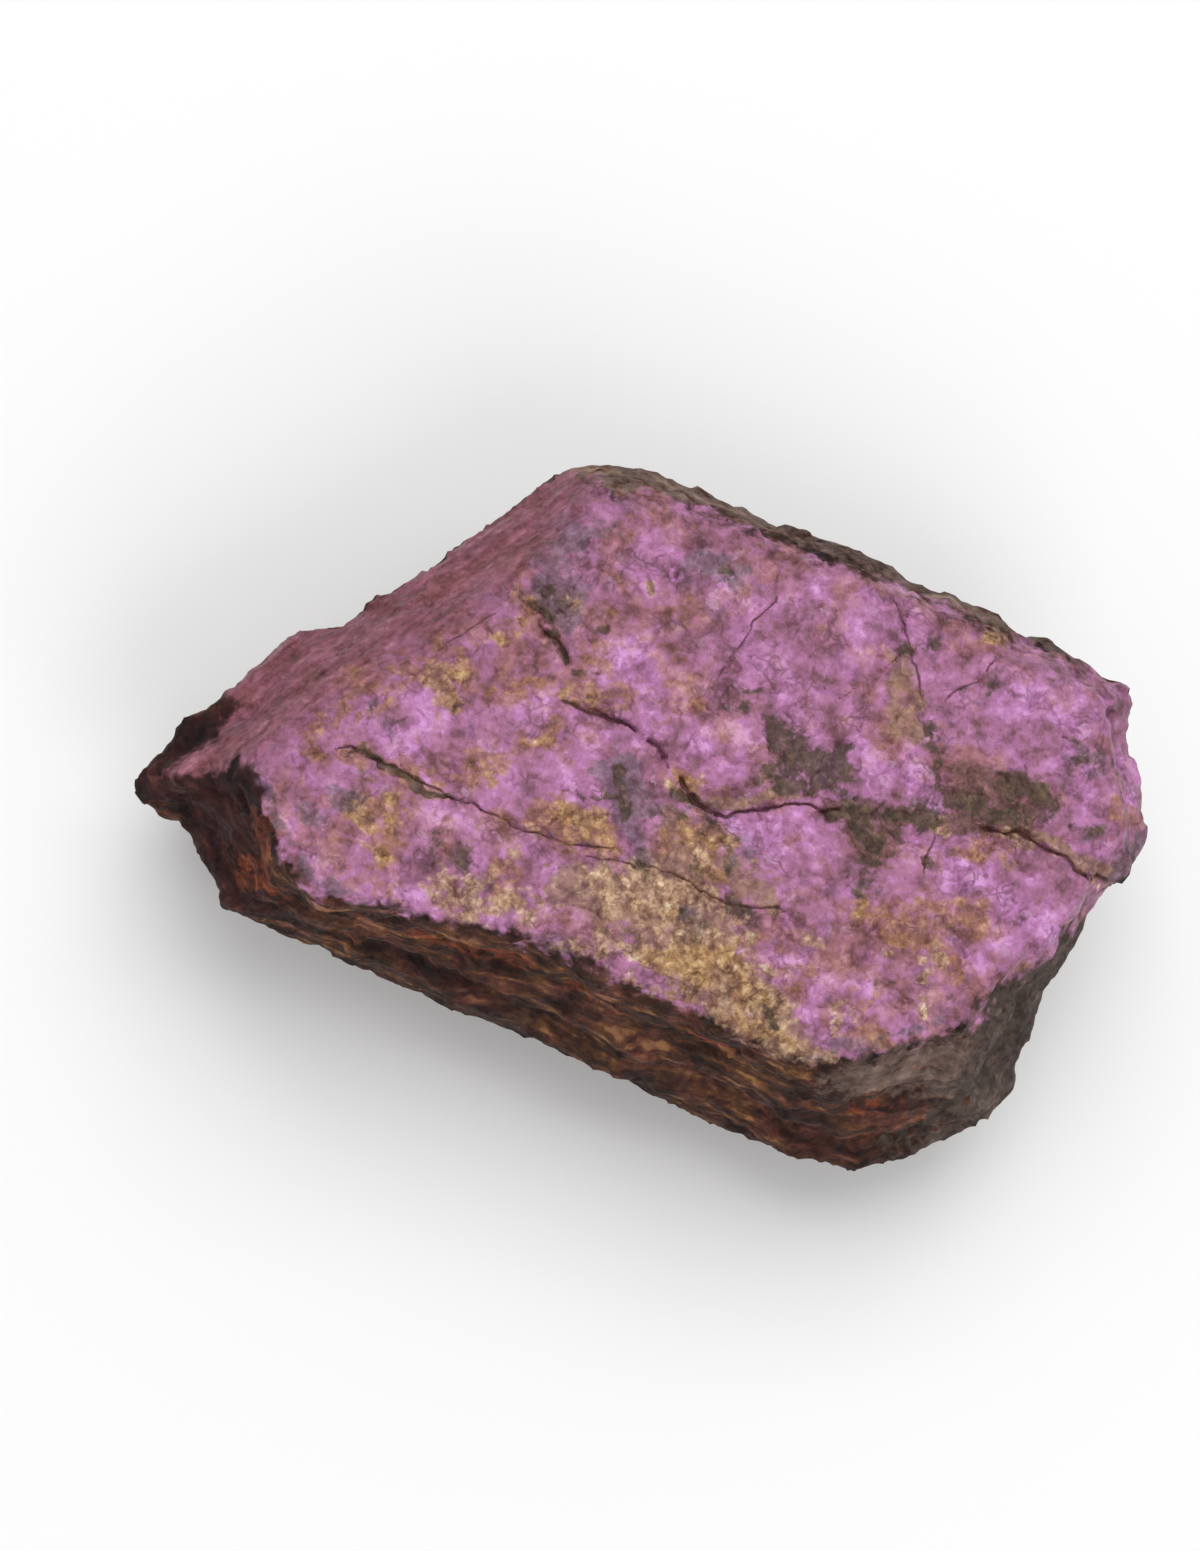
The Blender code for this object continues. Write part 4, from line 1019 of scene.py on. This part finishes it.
def side_tones(n, tones, purple):
    """The broken sides: thin dark beds with rust, and grey, maroon and olive places, dark as the rock's own
    brown and also as painted shade where the sides turn down and away from the light.
    """
    inputs = {
        "Vector": n.pushed(tones.place, *BED_PUSH), "Scale": BED_STRETCH, "Rotation": (0.0, BED_TILT, 0.0)}
    bedded = n.add("ShaderNodeMapping", inputs).outputs[0]
    beds = n.blend(0.0, *[(n.noise(bedded, *sizes), share) for *sizes, share in BED_NOISES])
    light = n.math("ADD", beds, tones.swung(SIDE_LIGHT, SIDE_SWINGS))
    plain, reddish = n.tones(light, TONES["beds"]), n.tones(light, TONES["reddish"])
    colour = n.mix(tones.where(*REDDISH_PLACES), plain, reddish)
    finish = {kind: n.tones(light, TONES[kind]) for kind in ("olive", "maroon", "rust")}
    finish["charcoal"] = n.tones(tones.swung(0.5, CHARCOAL_SWINGS), TONES["charcoal"])
    hidden = n.times(n.mark("hidden"), tones.where(*HIDDEN_BROAD))
    hidden = n.times(hidden, n.times(tones.where(*HIDDEN_FINE), HIDDEN_SHARE))
    colour = n.mix(hidden, colour, n.mix(HIDDEN_MAROON, purple, finish["maroon"]))
    for kind, share in SIDE_LAYERS:
        colour = n.mix(tones.patches(kind, share), colour, finish[kind])
    return colour


def stone_colour(n, tones):
    """The face and the sides, with a ragged border between them, and the dark of the cracks."""
    purple, rosy = purple_tones(n, tones)
    face = with_shoulder(n, tones, face_tones(n, tones, purple, rosy))
    side = side_tones(n, tones, purple)
    on_face = n.step(*BORDER_STEP, tones.swung(n.mark("face"), BORDER_SWINGS))
    colour = n.mix(on_face, side, face)
    crack = n.step(*CRACK_STEP, tones.swung(n.mark("crack"), CRACK_SWINGS))
    return n.mix(n.times(crack, CRACK_SHARE), colour, paint(CRACK_COLOUR)), on_face


def stone_bump(n, tones):
    """Fine bumps, on little facets that each lean their own way."""
    surface = n.add("ShaderNodeNewGeometry", {}).outputs["Normal"]
    facet = n.cells(tones.crumb_place, FACET_WIDTH)["Color"]
    for colour, amount in ((tones.grain_colour, GRAIN_LEAN), (facet, FACET_LEAN)):
        surface = n.vector("ADD", surface, n.lean(colour, amount))
    inputs = {
        "Height": tones.swung(0.0, BUMP_SWINGS), "Distance": BUMP_DEPTH, "Strength": BUMP_STRENGTH,
        "Normal": n.vector("NORMALIZE", surface, (0.0, 0.0, 0.0))}
    return n.add("ShaderNodeBump", inputs).outputs[0]


def stone_material():
    material = bpy.data.materials.new("purpurite")
    material.use_nodes = True
    material.node_tree.nodes.clear()
    n = Nodes(material.node_tree)
    tones = StoneTones(n)
    colour, on_face = stone_colour(n, tones)
    dullness = n.math("SUBTRACT", SIDE_ROUGHNESS, n.times(on_face, FACE_SILKIER))
    inputs = {
        "Base Color": colour, "Roughness": tones.swung(dullness, ROUGHNESS_SWINGS),
        "Normal": stone_bump(n, tones), "Specular IOR Level": SPECULAR}
    shader = n.add("ShaderNodeBsdfPrincipled", inputs)
    n.add("ShaderNodeOutputMaterial", {"Surface": shader.outputs[0]})
    return material


def make_floor():
    bm = bmesh.new()
    bmesh.ops.create_grid(bm, x_segments=1, y_segments=1, size=FLOOR_HALF)
    floor = object_of(bm, "floor")
    bm.free()
    material = bpy.data.materials.new("pale floor")
    material.use_nodes = True
    finish = material.node_tree.nodes["Principled BSDF"].inputs
    finish["Base Color"].default_value = FLOOR_COLOUR
    finish["Roughness"].default_value = FLOOR_ROUGHNESS
    floor.data.materials.append(material)
    return floor


def make_lights():
    world = bpy.data.worlds.new("studio")
    world.use_nodes = True
    sky = world.node_tree.nodes["Background"].inputs
    sky["Color"].default_value = (1.0, 1.0, 1.0, 1.0)
    sky["Strength"].default_value = SKY_STRENGTH
    bpy.context.scene.world = world
    for name, place, size, watts in SOFTBOXES:
        light = bpy.data.lights.new(name, "AREA")
        light.size = size
        light.energy = watts
        turn = (-Vector(place)).to_track_quat("-Z", "Y").to_matrix().to_4x4()
        in_scene(name, light).matrix_world = Matrix.Translation(place) @ turn


def make_camera():
    data = bpy.data.cameras.new("photo view")
    data.sensor_width = SENSOR_WIDTH
    data.lens = SENSOR_WIDTH * VIEW_DISTANCE * PIXELS_PER_MM / PICTURE_HEIGHT
    data.clip_start = CLIP_START
    camera = in_scene("photo view", data)
    turn = Matrix((VIEW_RIGHT, VIEW_UP, VIEW_BACK)).transposed().to_4x4()
    camera.matrix_world = Matrix.Translation(VIEW_FROM * MM) @ turn
    bpy.context.scene.camera = camera


noise.seed_set(WANDER_SEED)
stone = make_stone()
stone.data.materials.append(stone_material())
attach(stone, "root")
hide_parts("purpurite_stone")
floor = make_floor()
make_lights()
make_camera()
bpy.context.scene.view_settings.view_transform = "Standard"
